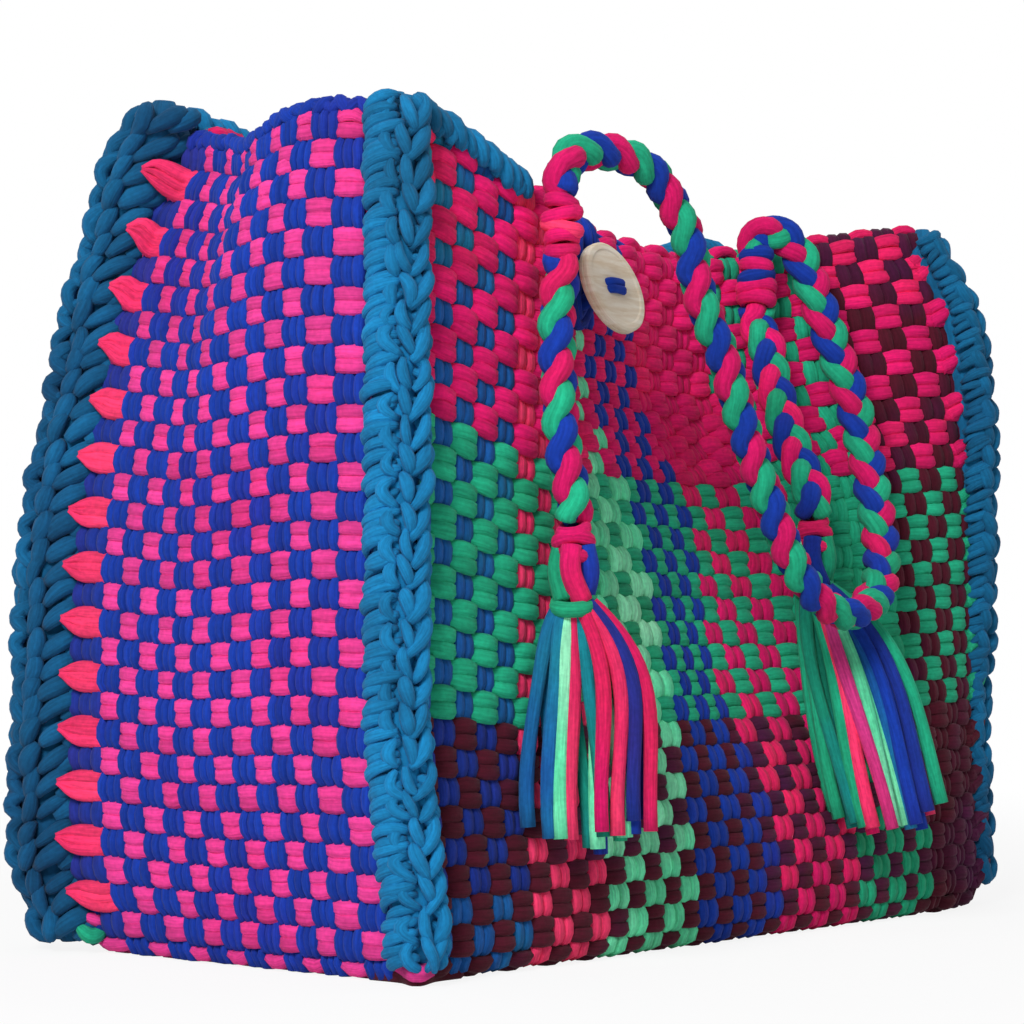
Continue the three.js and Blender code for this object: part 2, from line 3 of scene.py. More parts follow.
import bpy
import numpy as np
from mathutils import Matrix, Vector


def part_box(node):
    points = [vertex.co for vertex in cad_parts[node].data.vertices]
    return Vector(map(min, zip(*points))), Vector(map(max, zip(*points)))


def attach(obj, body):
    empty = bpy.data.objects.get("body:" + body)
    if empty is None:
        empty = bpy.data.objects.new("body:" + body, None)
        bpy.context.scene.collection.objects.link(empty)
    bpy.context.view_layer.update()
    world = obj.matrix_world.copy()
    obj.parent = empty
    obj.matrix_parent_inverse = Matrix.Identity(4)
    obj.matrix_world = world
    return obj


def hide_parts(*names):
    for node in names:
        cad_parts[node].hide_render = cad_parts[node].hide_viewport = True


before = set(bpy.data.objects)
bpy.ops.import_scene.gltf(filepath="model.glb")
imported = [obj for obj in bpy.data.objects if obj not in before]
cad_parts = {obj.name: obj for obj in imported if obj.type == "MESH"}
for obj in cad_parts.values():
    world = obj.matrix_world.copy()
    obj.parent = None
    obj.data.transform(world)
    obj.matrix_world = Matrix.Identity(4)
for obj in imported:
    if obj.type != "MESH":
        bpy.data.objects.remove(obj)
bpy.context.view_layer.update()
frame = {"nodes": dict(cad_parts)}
rng = np.random.default_rng(11)

# Sizes in millimetres, as the solids have them
MM = 0.001
WALL_ROWS = 27
WALL_FOOT = 9.3
WALL_HEIGHT = 306.45
SEAM = 11.3
FRONT_WIDTH = 437.4
GUSSET_WIDTH = 203.4
FRONT_COLUMNS = 34
GUSSET_COLUMNS = 15
LEFT_COLUMNS = 14
LEFT_ROWS = 28.2
BUTTON_COLUMN = 12.3
FRONT_LEFT_X = -212
FRONT_Y = -89
EDGING_RADIUS = 11
UP = np.array([0, 0, 1.0])

# From the drawing's place to the frame's: the near edging tells how far the bag was moved
near_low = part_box("front_left_edging")[0]
near_reach = EDGING_RADIUS * math.sin(math.pi / 3)
SHIFT = np.array([near_low.x / MM - FRONT_LEFT_X + EDGING_RADIUS, near_low.y / MM - FRONT_Y + near_reach, 0])


def to_frame(points):
    return (np.asarray(points, float) + SHIFT) * MM


def unit(vectors):
    length = np.linalg.norm(vectors, axis=-1, keepdims=True)
    return vectors / np.maximum(length, 1e-9)


def smooth(x, low, high):
    share = np.clip((x - low) / (high - low), 0, 1)
    return share * share * (3 - 2 * share)


def mixed(a, b, share):
    return a + (b - a) * share


def curve(points, step):
    """A smooth line through points in even steps, and how far along it each place lies."""
    points = np.asarray(points, float)
    padded = np.concatenate([[2 * points[0] - points[1]], points, [2 * points[-1] - points[-2]]])
    dense = []
    u = np.linspace(0, 1, 24, endpoint=False)[:, None]
    for a, b, c, d in zip(padded, padded[1:], padded[2:], padded[3:]):
        bend, twist = 2 * a - 5 * b + 4 * c - d, 3 * b - a - 3 * c + d
        dense.append(0.5 * (2 * b + (c - a) * u + bend * u**2 + twist * u**3))
    dense = np.concatenate(dense + [points[-1:]])
    travel = np.concatenate([[0], np.cumsum(np.linalg.norm(np.diff(dense, axis=0), axis=-1))])
    even = np.linspace(0, travel[-1], max(round(travel[-1] / step), 4) + 1)
    return np.stack([np.interp(even, travel, dense[:, k]) for k in range(3)], -1), even


def linked(name, data):
    made = bpy.data.objects.new(name, data)
    bpy.context.scene.collection.objects.link(made)
    return made


def aimed(name, data, place, way):
    made = linked(name, data)
    made.location = place
    made.rotation_mode = "QUATERNION"
    made.rotation_quaternion = Vector(way).to_track_quat("-Z", "Y")
    return made


# Camera at the photograph's place
camera = bpy.data.cameras.new("camera")
camera.lens = 103.6
camera.sensor_width = 36
camera.clip_end = 50
camera.shift_y = 0.0055
camera_place = to_frame([-1029.6, -806.5, 134.6])
bpy.context.scene.camera = aimed("camera", camera, camera_place, (0.7766, 0.6290, 0.0352))


# Yarn colours
def linear(code):
    parts = [int(code[k : k + 2], 16) / 255 for k in (1, 3, 5)]
    return [p / 12.92 if p <= 0.04045 else ((p + 0.055) / 1.055) ** 2.4 for p in parts] + [1]


def node(tree, kind, inputs=(), **settings):
    made = tree.nodes.new(kind)
    for name, value in settings.items():
        setattr(made, name, value)
    for name, value in dict(inputs).items():
        if isinstance(value, bpy.types.NodeSocket):
            tree.links.new(value, made.inputs[name])
        else:
            made.inputs[name].default_value = value
    return made


def colour_mix(tree, factor, a, b, blend="MIX"):
    made = node(tree, "ShaderNodeMix", {0: factor, 6: a, 7: b}, data_type="RGBA", blend_type=blend)
    return made.outputs[2]


def ramp(tree, value, low, high, to_low=0.0, to_high=1.0):
    made = node(tree, "ShaderNodeMapRange", {0: value, 1: low, 2: high, 3: to_low, 4: to_high})
    return made.outputs[0]


def maths(tree, operation, *values):
    return node(tree, "ShaderNodeMath", enumerate(values), operation=operation).outputs[0]


def noise(tree, place, scale, detail, distortion=0.0):
    inputs = {"Vector": place, "Scale": scale, "Detail": detail, "Distortion": distortion}
    return node(tree, "ShaderNodeTexNoise", inputs).outputs[0]


def plain_material(name, roughness, specular):
    material = bpy.data.materials.new(name)
    material.use_nodes = True
    tree = material.node_tree
    shader = tree.nodes["Principled BSDF"]
    shader.inputs["Roughness"].default_value = roughness
    shader.inputs["Specular IOR Level"].default_value = specular
    return material, tree, shader


def yarn_material(name, main, tint, patches):
    material, tree, shader = plain_material(name, 0.92, 0.18)
    shader.inputs["Sheen Weight"].default_value = 0.04
    shader.inputs["Sheen Roughness"].default_value = 0.5
    place = node(tree, "ShaderNodeTexCoord").outputs["Object"]
    along = node(tree, "ShaderNodeAttribute", attribute_name="yarn").outputs["Vector"]
    tone = node(tree, "ShaderNodeAttribute", attribute_name="tone").outputs["Fac"]
    blot = noise(tree, place, 14.0, 2.0)
    streak = noise(tree, along, 3.2, 3.0)
    fuzz = noise(tree, place, 520.0, 2.0)
    patch = ramp(tree, blot, 0.62 - 0.3 * patches, 0.74 - 0.1 * patches)
    colour = colour_mix(tree, patch, linear(main), linear(tint))
    for source, low, high in ((streak, 0.8, 1.22), (fuzz, 0.9, 1.1), (tone, 0.84, 1.18)):
        limits = (0.0, 1.0) if source is tone else (0.3, 0.7)
        grey = ramp(tree, source, *limits, low, high)
        colour = colour_mix(tree, 1.0, colour, grey, "MULTIPLY")
    tree.links.new(colour, shader.inputs["Base Color"])
    height = maths(tree, "MULTIPLY", streak, 0.8)
    height = maths(tree, "MULTIPLY_ADD", fuzz, 0.35, height)
    bump = node(tree, "ShaderNodeBump", {"Height": height, "Strength": 0.5, "Distance": 0.0012})
    tree.links.new(bump.outputs[0], shader.inputs["Normal"])
    return material


COLOURS = {
    "teal": ("#1476a9", "#125f88", 0.5),
    "deep_teal": ("#11648f", "#0f5078", 0.5),
    # painted shade: a darker copy of the teal crochet yarn, used only for the rear band
    "painted_shade_teal": ("#0f5a84", "#0c466c", 0.5),
    "royal": ("#123698", "#1f2a8f", 0.4),
    "navy": ("#182f86", "#2a2a80", 0.5),
    "sea_blue": ("#17579f", "#1a7d96", 0.6),
    "hot_pink": ("#de3c8b", "#da327a", 0.5),
    "magenta": ("#dc1566", "#e3225a", 0.5),
    "coral": ("#ee3a68", "#e42a62", 0.5),
    "mint": ("#62e0a8", "#94e6b8", 0.5),
    "green": ("#20a77d", "#1f9468", 0.5),
    "maroon": ("#4a0e20", "#44123c", 0.45),
    "dark_green": ("#138066", "#117a86", 0.5),
}
MATERIALS = {name: yarn_material(name, *look) for name, look in COLOURS.items()}
NAMES = list(MATERIALS)


def shade(name):
    return NAMES.index(name)


class Strands:
    """Many lengths of yarn in one mesh."""

    def __init__(self, plump=1.0):
        self.plump = plump
        self.points, self.quads, self.quad_shades, self.yarn, self.tones = [], [], [], [], []
        self.caps = []
        self.count = 0

    def add(self, path, facing, half_width, half_height, shades, sides):
        path = np.asarray(path, float)
        m, n = path.shape[:2]
        facing = np.broadcast_to(facing, path.shape)
        half_width = np.broadcast_to(half_width, (m, n))
        half_height = np.broadcast_to(half_height, (m, n))
        shades = np.asarray(shades)
        if shades.ndim < 2:
            shades = np.broadcast_to(shades, (m,))[:, None]
        shades = np.broadcast_to(shades, (m, n - 1))
        ahead = unit(np.gradient(path, axis=1))
        across = unit(np.cross(ahead, facing))
        up = np.cross(across, ahead)
        angle = 2 * np.pi * (np.arange(sides) + 0.5) / sides
        wide = np.sign(np.cos(angle)) * np.abs(np.cos(angle)) ** self.plump
        tall = np.sign(np.sin(angle)) * np.abs(np.sin(angle)) ** self.plump
        ring = path[:, :, None] + across[:, :, None] * (half_width[..., None] * wide)[..., None]
        ring = ring + up[:, :, None] * (half_height[..., None] * tall)[..., None]
        start = self.count + np.arange(m)[:, None, None] * n * sides
        i = np.arange(n - 1)[None, :, None] * sides
        k = np.arange(sides)[None, None, :]
        after = (k + 1) % sides
        corners = [start + i + k, start + i + sides + k, start + i + sides + after, start + i + after]
        self.quads.append(np.stack(np.broadcast_arrays(*corners), -1).reshape(-1, 4))
        self.quad_shades.append(np.repeat(shades.ravel(), sides))
        first = start[:, 0] + np.arange(sides)
        last = start[:, 0] + (n - 1) * sides + np.arange(sides)[::-1]
        self.caps.append((np.concatenate([first, last]), np.concatenate([shades[:, 0], shades[:, -1]])))
        step = np.linalg.norm(np.diff(path, axis=1), axis=-1)
        along = np.concatenate([np.zeros((m, 1)), np.cumsum(step, axis=1)], axis=1)
        tone = rng.random(m)
        yarn = np.empty((m, n, sides, 3))
        yarn[..., 0] = along[:, :, None] * 0.03 + tone[:, None, None] * 37
        yarn[..., 1] = np.cos(angle) * 1.1
        yarn[..., 2] = np.sin(angle) * 1.1
        self.points.append(ring.reshape(-1, 3))
        self.yarn.append(yarn.reshape(-1, 3))
        self.tones.append(np.repeat(tone, n * sides))
        self.count += m * n * sides

    def single(self, line, facing, half_width, half_height, colour, sides=10):
        self.add(line[None], facing, half_width, half_height, shade(colour), sides)

    def piece(self, name, slot, *nodes):
        points = to_frame(np.concatenate(self.points))
        quads = np.concatenate(self.quads)
        loops = [quads.ravel()]
        sizes = [np.full(len(quads), 4)]
        shades = [np.concatenate(self.quad_shades)]
        for faces, face_shades in self.caps:
            loops.append(faces.ravel())
            sizes.append(np.full(len(faces), faces.shape[1]))
            shades.append(face_shades)
        loops, sizes, shades = np.concatenate(loops), np.concatenate(sizes), np.concatenate(shades)
        used = np.unique(shades)
        mesh = bpy.data.meshes.new(name)
        mesh.vertices.add(len(points))
        mesh.vertices.foreach_set("co", points.astype(np.float32).ravel())
        mesh.loops.add(len(loops))
        mesh.loops.foreach_set("vertex_index", loops.astype(np.int32))
        mesh.polygons.add(len(sizes))
        mesh.polygons.foreach_set("loop_start", (np.cumsum(sizes) - sizes).astype(np.int32))
        for shade_index in used:
            mesh.materials.append(MATERIALS[NAMES[shade_index]])
        mesh.polygons.foreach_set("material_index", np.searchsorted(used, shades).astype(np.int32))
        mesh.polygons.foreach_set("use_smooth", np.ones(len(sizes), bool))
        yarn = mesh.attributes.new("yarn", "FLOAT_VECTOR", "POINT").data
        yarn.foreach_set("vector", np.concatenate(self.yarn).astype(np.float32).ravel())
        tone = mesh.attributes.new("tone", "FLOAT", "POINT").data
        tone.foreach_set("value", np.concatenate(self.tones).astype(np.float32))
        mesh.update(calc_edges=True)
        return placed(name, mesh, slot, *nodes)


def placed(name, mesh, slot, *nodes):
    made = linked(name, mesh)
    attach(made, "root")
    if nodes:
        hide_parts(*nodes)
    return made


# How the soft walls hang: lengths, and shares of the wall's width or height
LEFT_TUCK, RIGHT_TUCK, REAR_TUCK = (12, 0.3), (12, 0.7), (7, 0.1)
FRONT_SKEW, FRONT_SKEW_HEIGHT = 14, 0.6
CAVE_DEPTH, CAVE_HEIGHTS = 66, (0.05, 0.87)
FOLD, FOLD_SHARE, SLOPE = (0.17, 0.37), 0.45, (0.23, 0.64)
VALLEY_END, VALLEY_DRIFT, VALLEY_RUN = 0.6, 0.1, 0.35
CORNER_TURN, CORNER_TURN_START, CORNER_TURN_HEIGHTS = 16, 0.82, (0.2, 0.62)
BACK_INSET, BACK_RIGHT_INSET = 7, 14
BACK_NARROWING, BACK_NARROWING_START = 22, 0.4
BACK_LEAN, BACK_CREST_LEAN, BACK_CREST_START = 13, 45, 0.72
BACK_CAVE_DEPTH, BACK_CAVE_FOOT = 48, 0.3
GUSSET_BULGE, GUSSET_CREASE, CREASE_SHARPNESS = 5, 0.55, 1.5
FRONT_RIGHT_RISE, BACK_LEFT_RISE, BACK_RIGHT_RISE, LEFT_RIM_RISE = -6, 14, -4, 5
GUSSET_DIP, BACK_SAG, RIM_SAG, RIM_SAG_RUN = 4, 44, 24, 0.22
RIM_RECOVERY, RIM_RECOVERY_START = 0.9, 0.62
TABLE_COLUMNS, TABLE_ROWS = 240, 80


# Plan lines of the four walls: t runs left to right seen from outside, v up
def tuck(v, depth, height):
    return depth * (1 - smooth(v, 0, height))


def front_width(v):
    return FRONT_WIDTH - tuck(v, *LEFT_TUCK) - tuck(v, *RIGHT_TUCK)


def front_y(t, v):
    valley_end = VALLEY_END + VALLEY_DRIFT * v * v
    shape = FOLD_SHARE * smooth(t, *FOLD) + (1 - FOLD_SHARE) * smooth(t, *SLOPE)
    recovery = 1 - smooth(t, valley_end, valley_end + VALLEY_RUN)
    cave = CAVE_DEPTH * smooth(v, *CAVE_HEIGHTS) * shape * recovery
    corner = np.clip((t - CORNER_TURN_START) / (1 - CORNER_TURN_START), 0, 1) ** 2
    turn = CORNER_TURN * (1 - smooth(v, *CORNER_TURN_HEIGHTS)) * corner
    return FRONT_Y + cave + turn - FRONT_SKEW * t * (1 - smooth(v, 0, FRONT_SKEW_HEIGHT))


TABLE_T, TABLE_V = np.linspace(0, 1, TABLE_COLUMNS + 1), np.linspace(0, 1, TABLE_ROWS + 1)
table_y = front_y(TABLE_T[None, :], TABLE_V[:, None])
table_step = front_width(TABLE_V) / TABLE_COLUMNS
table_dx = np.sqrt(np.maximum(table_step[:, None] ** 2 - np.diff(table_y, axis=1) ** 2, 0))
table_x = np.concatenate([np.zeros((TABLE_ROWS + 1, 1)), np.cumsum(table_dx, axis=1)], axis=1)
table_x += (FRONT_LEFT_X + tuck(TABLE_V, *LEFT_TUCK))[:, None]


def front_plan(t, v):
    t, v = np.broadcast_arrays(np.asarray(t, float), np.asarray(v, float))
    a, b = np.clip(t, 0, 1) * TABLE_COLUMNS, np.clip(v, 0, 1) * TABLE_ROWS
    i, j = np.minimum(a.astype(int), TABLE_COLUMNS - 1), np.minimum(b.astype(int), TABLE_ROWS - 1)
    a, b = a - i, b - j

    def read(table):
        low = mixed(table[j, i], table[j, i + 1], a)
        return mixed(low, mixed(table[j + 1, i], table[j + 1, i + 1], a), b)

    return read(table_x), read(table_y)


def back_line(v):
    crest = np.clip((v - BACK_CREST_START) / (1 - BACK_CREST_START), 0, 1)
    return FRONT_Y + GUSSET_WIDTH - tuck(v, *REAR_TUCK) - BACK_LEAN * v - BACK_CREST_LEAN * crest**2


def back_left(v):
    narrowing = BACK_NARROWING * smooth(v, BACK_NARROWING_START, 1)
    return FRONT_LEFT_X + BACK_INSET + tuck(v, *REAR_TUCK) + narrowing, back_line(v)


def back_right(v):
    return FRONT_LEFT_X - BACK_RIGHT_INSET + FRONT_WIDTH - tuck(v, *RIGHT_TUCK), back_line(v)


def gusset_bulge(w, v):
    return GUSSET_BULGE * np.sin(np.pi * w) * np.sin(np.pi * v)


def right_plan(w, v):
    (fx, fy), (bx, by) = front_plan(np.ones_like(w + v), v), back_right(v)
    return mixed(fx, bx, w) + gusset_bulge(w, v), mixed(fy, by, w)


def back_plan(t, v):
    (rx, y), (lx, _) = back_right(v), back_left(v)
    return mixed(rx, lx, t), y - BACK_CAVE_DEPTH * smooth(v, BACK_CAVE_FOOT, 1) * np.sin(np.pi * t) ** 2


def left_plan(w, v):
    (bx, by), (fx, fy) = back_left(v), front_plan(np.zeros_like(w + v), v)
    share = np.clip(w / GUSSET_CREASE, 0, 1) ** CREASE_SHARPNESS
    fold = mixed(2.5, 9.0, smooth(w, 0.4, 0.6)) * np.sin(2 * np.pi * w) * smooth(v, 0.45, 0.95)
    return mixed(bx, fx, share) - gusset_bulge(w, v) + fold, mixed(by, fy, w)


# How far each wall's top edge lies above or below the height of the woven rows
def front_top(t):
    recovery = 1 - RIM_RECOVERY * smooth(t, RIM_RECOVERY_START, 1)
    return FRONT_RIGHT_RISE * t - RIM_SAG * smooth(t, 0, RIM_SAG_RUN) * recovery


def right_top(w):
    return mixed(FRONT_RIGHT_RISE, BACK_RIGHT_RISE, w) - GUSSET_DIP * np.sin(np.pi * w) ** 2


def back_top(t):
    return mixed(BACK_RIGHT_RISE, BACK_LEFT_RISE, t) - BACK_SAG * np.sin(np.pi * t) ** 2


def left_top(w):
    fold = 3 * np.exp(-(((w - 0.78) / 0.14) ** 2)) - 4 * np.exp(-(((w - 0.45) / 0.16) ** 2))
    return mixed(LEFT_RIM_RISE, 0, w) - GUSSET_DIP * np.sin(np.pi * w) ** 2 + fold


class Wall:
    """A woven wall: c counts columns from its left end, r counts rows down it.

    ends are its margins at both sides, start the row at its top edge, crest how far it rises before it rolls
    over, pack how its columns crowd, reach how far it runs past its left margin at the top, and drift how far
    its columns slide.
    """

    foot_curl = 5.0
    foot_height = 4.9
    roll = 4.5

    def __init__(
        self, plan, top, columns, ends=(SEAM, SEAM), rows=WALL_ROWS, start=0.0, crest=3.0,
        pack=None, reach=0.0, drift=None,
    ):
        self.plan, self.top, self.columns, self.ends = plan, top, columns, ends
        self.rows, self.start, self.crest, self.reach = rows, start, crest, reach
        self.pack = pack or ((-columns, 2 * columns), (-1.0, 2.0))
        self.drift = drift

    def share(self, c, v):
        x0, y0 = self.plan(np.zeros_like(v), v)
        x1, y1 = self.plan(np.ones_like(v), v)
        width = np.hypot(x1 - x0, y1 - y0)
        if self.plan is front_plan:
            width = front_width(v)
        first, last = self.ends
        first = first - self.reach * smooth(v, 0.7, 1)
        return mixed(first / width, 1 - last / width, np.interp(c, *self.pack))

    def at(self, c, r):
        c, r = np.broadcast_arrays(np.asarray(c, float), np.asarray(r, float))
        if self.drift:
            c = c + self.drift(c, r)
        rows_left = self.rows + self.start - r
        v = np.clip(rows_left / self.rows, 0, 1)
        t = np.clip(self.share(c, v), 0, 1)
        height = WALL_HEIGHT + self.top(t)
        climb = rows_left * height / self.rows
        x, y = self.plan(t, v)
        xa, ya = self.plan(np.minimum(t + 0.004, 1), v)
        xb, yb = self.plan(np.maximum(t - 0.004, 0), v)
        length = np.hypot(xa - xb, ya - yb)
        nx, ny = (ya - yb) / length, (xb - xa) / length
        z = WALL_FOOT + climb
        below = np.maximum(self.foot_curl + self.foot_height - WALL_FOOT - climb, 0)
        turn = np.minimum(below / self.foot_curl, np.pi / 2)
        z = np.where(below > 0, self.foot_curl + self.foot_height - self.foot_curl * np.sin(turn), z)
        inward = self.foot_curl * (1 - np.cos(turn)) + np.maximum(below - self.foot_curl * np.pi / 2, 0)
        above = np.maximum(climb - height - self.crest, 0)
        turn = np.minimum(above / self.roll, np.pi)
        crest = WALL_FOOT + height + self.crest
        rolled = crest + self.roll * np.sin(turn) - np.maximum(above - self.roll * np.pi, 0)
        z = np.where(above > 0, rolled, z)
        inward = inward + self.roll * (1 - np.cos(turn))
        return np.stack([x - nx * inward, y - ny * inward, z], -1)

    def frame(self, c, r):
        step = 0.03
        along = (self.at(c + step, r) - self.at(c - step, r)) / (2 * step)
        down = (self.at(c, r + step) - self.at(c, r - step)) / (2 * step)
        return self.at(c, r), unit(np.cross(along, -down)), along, down


# The left gusset's columns crowd in its middle
LEFT_PACK = ((-2, 0, 1, 4, 9, 12, 14, 16), (-0.211, 0.017, 0.131, 0.353, 0.667, 0.845, 1.0, 1.155))
# Where the front caves in, its columns slide along the wall: so many columns, by row and column
DRIFT_ROWS = (-1, 2, 5, 9.5, 17.5, 23)
DRIFT_COLUMNS = (9, 14, 19, 24, 29, 34)
DRIFT = (
    (0, 0, 0, 0, 0, -0.55),
    (0, 0, 0, 0, 0.2, 0.4),
    (0, 0, 0, 0, 0.4, 0.75),
    (0, 2.0, 1.7, 2.2, 1.1, 0.6),
    (0, 0.8, -1.1, -0.3, 0.1, 0.3),
    (0, 0, 0, 0, 0, 0),
)


def front_drift(c, r):
    slides = [np.interp(c, DRIFT_COLUMNS, line) for line in DRIFT]
    slide = slides[0]
    for low, high, after in zip(DRIFT_ROWS, DRIFT_ROWS[1:], slides[1:]):
        slide = mixed(slide, after, smooth(r, low, high))
    return slide


front = Wall(front_plan, front_top, FRONT_COLUMNS, (5.0, SEAM), crest=7.0, drift=front_drift)
right = Wall(right_plan, right_top, GUSSET_COLUMNS)
back = Wall(back_plan, back_top, FRONT_COLUMNS)
left = Wall(left_plan, left_top, LEFT_COLUMNS, (21.0, SEAM), LEFT_ROWS, 0.7, pack=LEFT_PACK, reach=14.0)

FINE = np.array([0, 0.13, 0.35, 0.65, 0.87])
COARSE = np.array([0, 0.25, 0.75])


def wave(steps, over, lift, bias):
    """Height of a strand that passes over and under in turn; over is +1 or -1 for each cell."""
    cell = np.minimum(np.floor(steps).astype(int), over.shape[-1] - 1)
    rise = np.abs(np.sin(np.pi * (steps - np.floor(steps)))) ** 0.6
    return over[..., cell] * rise * lift + bias


def swollen(steps, over):
    """Width of a strand, which is wider where it passes over."""
    return 0.93 + 0.11 * wave(steps, over, 1, 0)


def gusset_puff(row, column):
    return np.full_like(row + column, -0.25)


def woven(
    wall, rows, warp_shades, weft_shades, warp_strands=2, puff=gusset_puff, cells=COARSE, sides=5, lift=2.6,
    weft=(0.25, 0.29),
):
    """Warp and weft strands of a wall, from row rows[0] to row rows[1].

    puff is how far the weft covers the warp. weft is each weft strand's place beside its row's middle and its
    half width.
    """
    first, last = rows
    columns = wall.columns
    row_cells = np.arange(math.floor(first), math.ceil(last))
    over = np.where((np.arange(columns)[:, None] + row_cells[None, :]) % 2 == 0, 1.0, -1.0)
    warp_yarn, weft_yarn = Strands(0.8), Strands(0.75)
    weft_place, weft_half = weft

    r = (row_cells[:, None] + cells).ravel()
    r = np.concatenate([[first], r[(r > first) & (r < last)], [last]])
    shrink = puff(r[None, :], np.arange(columns)[:, None] + 0.5)
    bulge = swollen(r - row_cells[0], over)
    colours = np.array([[warp_shades(column, row) for row in r[:-1]] for column in range(columns)])
    for k in range(warp_strands):
        aside = ((k + 0.5) / warp_strands - 0.5) * (1 - 0.2 * shrink) * bulge
        c = np.arange(columns)[:, None] + 0.5 + aside + rng.normal(0, 0.015, (columns, 1))
        cc = c + rng.normal(0, 0.01, (columns, len(r)))
        path, out, along, _ = wall.frame(cc, np.broadcast_to(r, cc.shape))
        height = wave(r - row_cells[0], over * rng.normal(1, 0.07, over.shape), lift, -0.9 * shrink)
        width = np.linalg.norm(along, axis=-1) / warp_strands * (0.58 - 0.1 * shrink) * bulge
        warp_yarn.add(path + out * height[..., None], out, width, 2.5, colours, sides)

    c = (np.arange(columns)[:, None] + cells).ravel()
    c = np.append(c, columns)
    rows_used = row_cells[(row_cells + 0.75 > first) & (row_cells + 0.25 < last)]
    swell = puff(rows_used[:, None] + 0.5, c[None, :])
    passing = -over[:, rows_used - row_cells[0]].T
    bulge = swollen(c, passing)
    colours = [weft_shades(row) for row in rows_used]
    for side in (-weft_place, weft_place):
        r = rows_used + 0.5 + rng.normal(0, 0.012, len(rows_used))
        rr = r[:, None] + side * bulge + rng.normal(0, 0.01, (len(r), len(c)))
        path, out, _, down = wall.frame(np.broadcast_to(c, rr.shape), rr)
        height = wave(c, passing * rng.normal(1, 0.07, passing.shape), lift, 0.9 * swell)
        width = np.linalg.norm(down, axis=-1) * (weft_half + 0.03 * swell) * bulge
        weft_yarn.add(path + out * height[..., None], out, width, 2.7, colours, sides)
    return warp_yarn, weft_yarn


def cloth(name, slot, node_name, *weave, **options):
    warp_yarn, weft_yarn = woven(*weave, **options)
    warp_yarn.piece(f"{name}_warp", slot, node_name)
    weft_yarn.piece(f"{name}_weft", slot)


# Plaid of the front and back
WARP_BANDS = (
    ("sea_blue", 5), ("coral", 4), ("mint", 5), ("royal", 5), ("magenta", 5), ("green", 5), ("maroon", 5),
)
WARP = [shade(name) for name, count in WARP_BANDS for _ in range(count)]


def plaid_warp(column, row):
    return shade("navy") if column < 5 and 19 < row < 25 else WARP[column]


def turned_warp(column, row):
    return plaid_warp(FRONT_COLUMNS - 1 - column, row)


def every(name):
    """The same colour in every cell or row."""
    return lambda *cell: shade(name)


def left_check_warp(column, row):
    return shade("navy" if column == 0 else "royal")


def plaid_weft(row):
    return shade("magenta" if row < 9 else "green" if row < 19 else "maroon")


def plaid_puff(row, column):
    beyond = smooth(column, 8, 10)
    upper = mixed(1.0, 0.15, smooth(column, 13, 14) * (1 - smooth(column, 19, 20)) * smooth(row, 2, 4))
    middle = mixed(mixed(1.0, -0.5, beyond), 0.05, smooth(column, 13, 15))
    lower = mixed(0.4, -0.1, beyond)
    by_row = mixed(mixed(upper, middle, smooth(row, 8.5, 9.5)), lower, smooth(row, 18.5, 19.5))
    corner = 0.8 * smooth(column, 28.5, 29.5) * smooth(row, 18.5, 19.5)
    return by_row * mixed(1.0, 0.1, smooth(column, 26, 29)) + corner


PLAID_ROWS = (-2, 28.6)
CHECK_WEFT = (0.215, 0.3)
cloth(
    "front", "plaid_cloth", "front_panel", front, PLAID_ROWS, plaid_warp, plaid_weft,
    puff=plaid_puff, cells=FINE, sides=7,
)
cloth("back", "plaid_cloth", "back_panel", back, PLAID_ROWS, turned_warp, plaid_weft)
cloth(
    "left_gusset", "check_cloth", "left_gusset", left, (0, 30), left_check_warp, every("hot_pink"), 3,
    cells=FINE, sides=7, lift=3.1, weft=CHECK_WEFT,
)
cloth(
    "right_gusset", "check_cloth", "right_gusset", right, (-0.3, 28.3), every("royal"), every("hot_pink"), 3,
    weft=CHECK_WEFT,
)


class Base:
    """The woven bottom between the front's and the back's curled rows."""

    columns = FRONT_COLUMNS
    rows = 14
    edge_row = 28.5

    def at(self, c, r):
        c, r = np.broadcast_arrays(np.asarray(c, float), np.asarray(r, float))
        start = front.at(c, np.full_like(c, self.edge_row))
        end = back.at(FRONT_COLUMNS - c, np.full_like(c, self.edge_row))
        return mixed(start, end, (r / self.rows)[..., None])

    frame = Wall.frame


def base_warp(column, row):
    return WARP[column]


cloth("base", "plaid_cloth", "base_panel", Base(), (0, Base.rows), base_warp, every("maroon"), lift=2.2)


# Crochet: one stitch is a pair of arms in the middle and lobes to both sides.
# Each strand is three places (across, along, height) and its half width.
ARMS = (
    ((9.4, 8.8, 0.6), (8.2, 1.6, 2.8), (3.4, -6.6, 1.6), 2.7),
    ((1.6, 6.6, 1.2), (2.4, 1.0, 2.8), (4.6, -5.0, 1.2), 2.3),
    ((-1.6, 4.6, 1.4), (-3.6, -0.6, 2.6), (0.6, -6.0, 1.0), 2.5),
)
WIDE_ARMS = (
    ((6.4, 6.0, 0.2), (5.4, 0.5, 2.2), (1.2, -6.0, 0.6), 3.7),
    ((-5.8, 6.0, 0.2), (-5.0, 0.5, 2.0), (-0.8, -6.0, 0.4), 3.7),
)
LOBES = (
    ((0.4, 7.2, 0.6), (-6.2, 5.6, 2.0), (-14.2, 1.2, -1.2), 2.5),
    ((0.2, 3.0, 0.2), (-6.8, 1.4, 1.6), (-14.4, -2.6, -1.4), 2.5),
    ((0.2, -0.8, 0.0), (-6.4, -2.6, 1.4), (-13.6, -7.0, -1.4), 2.4),
    ((6.4, 7.0, 0.0), (10.0, 3.4, 0.8), (13.4, -2.4, -1.4), 2.5),
    ((6.2, 1.6, -0.3), (9.8, -1.6, 0.6), (12.8, -7.4, -1.6), 2.4),
)
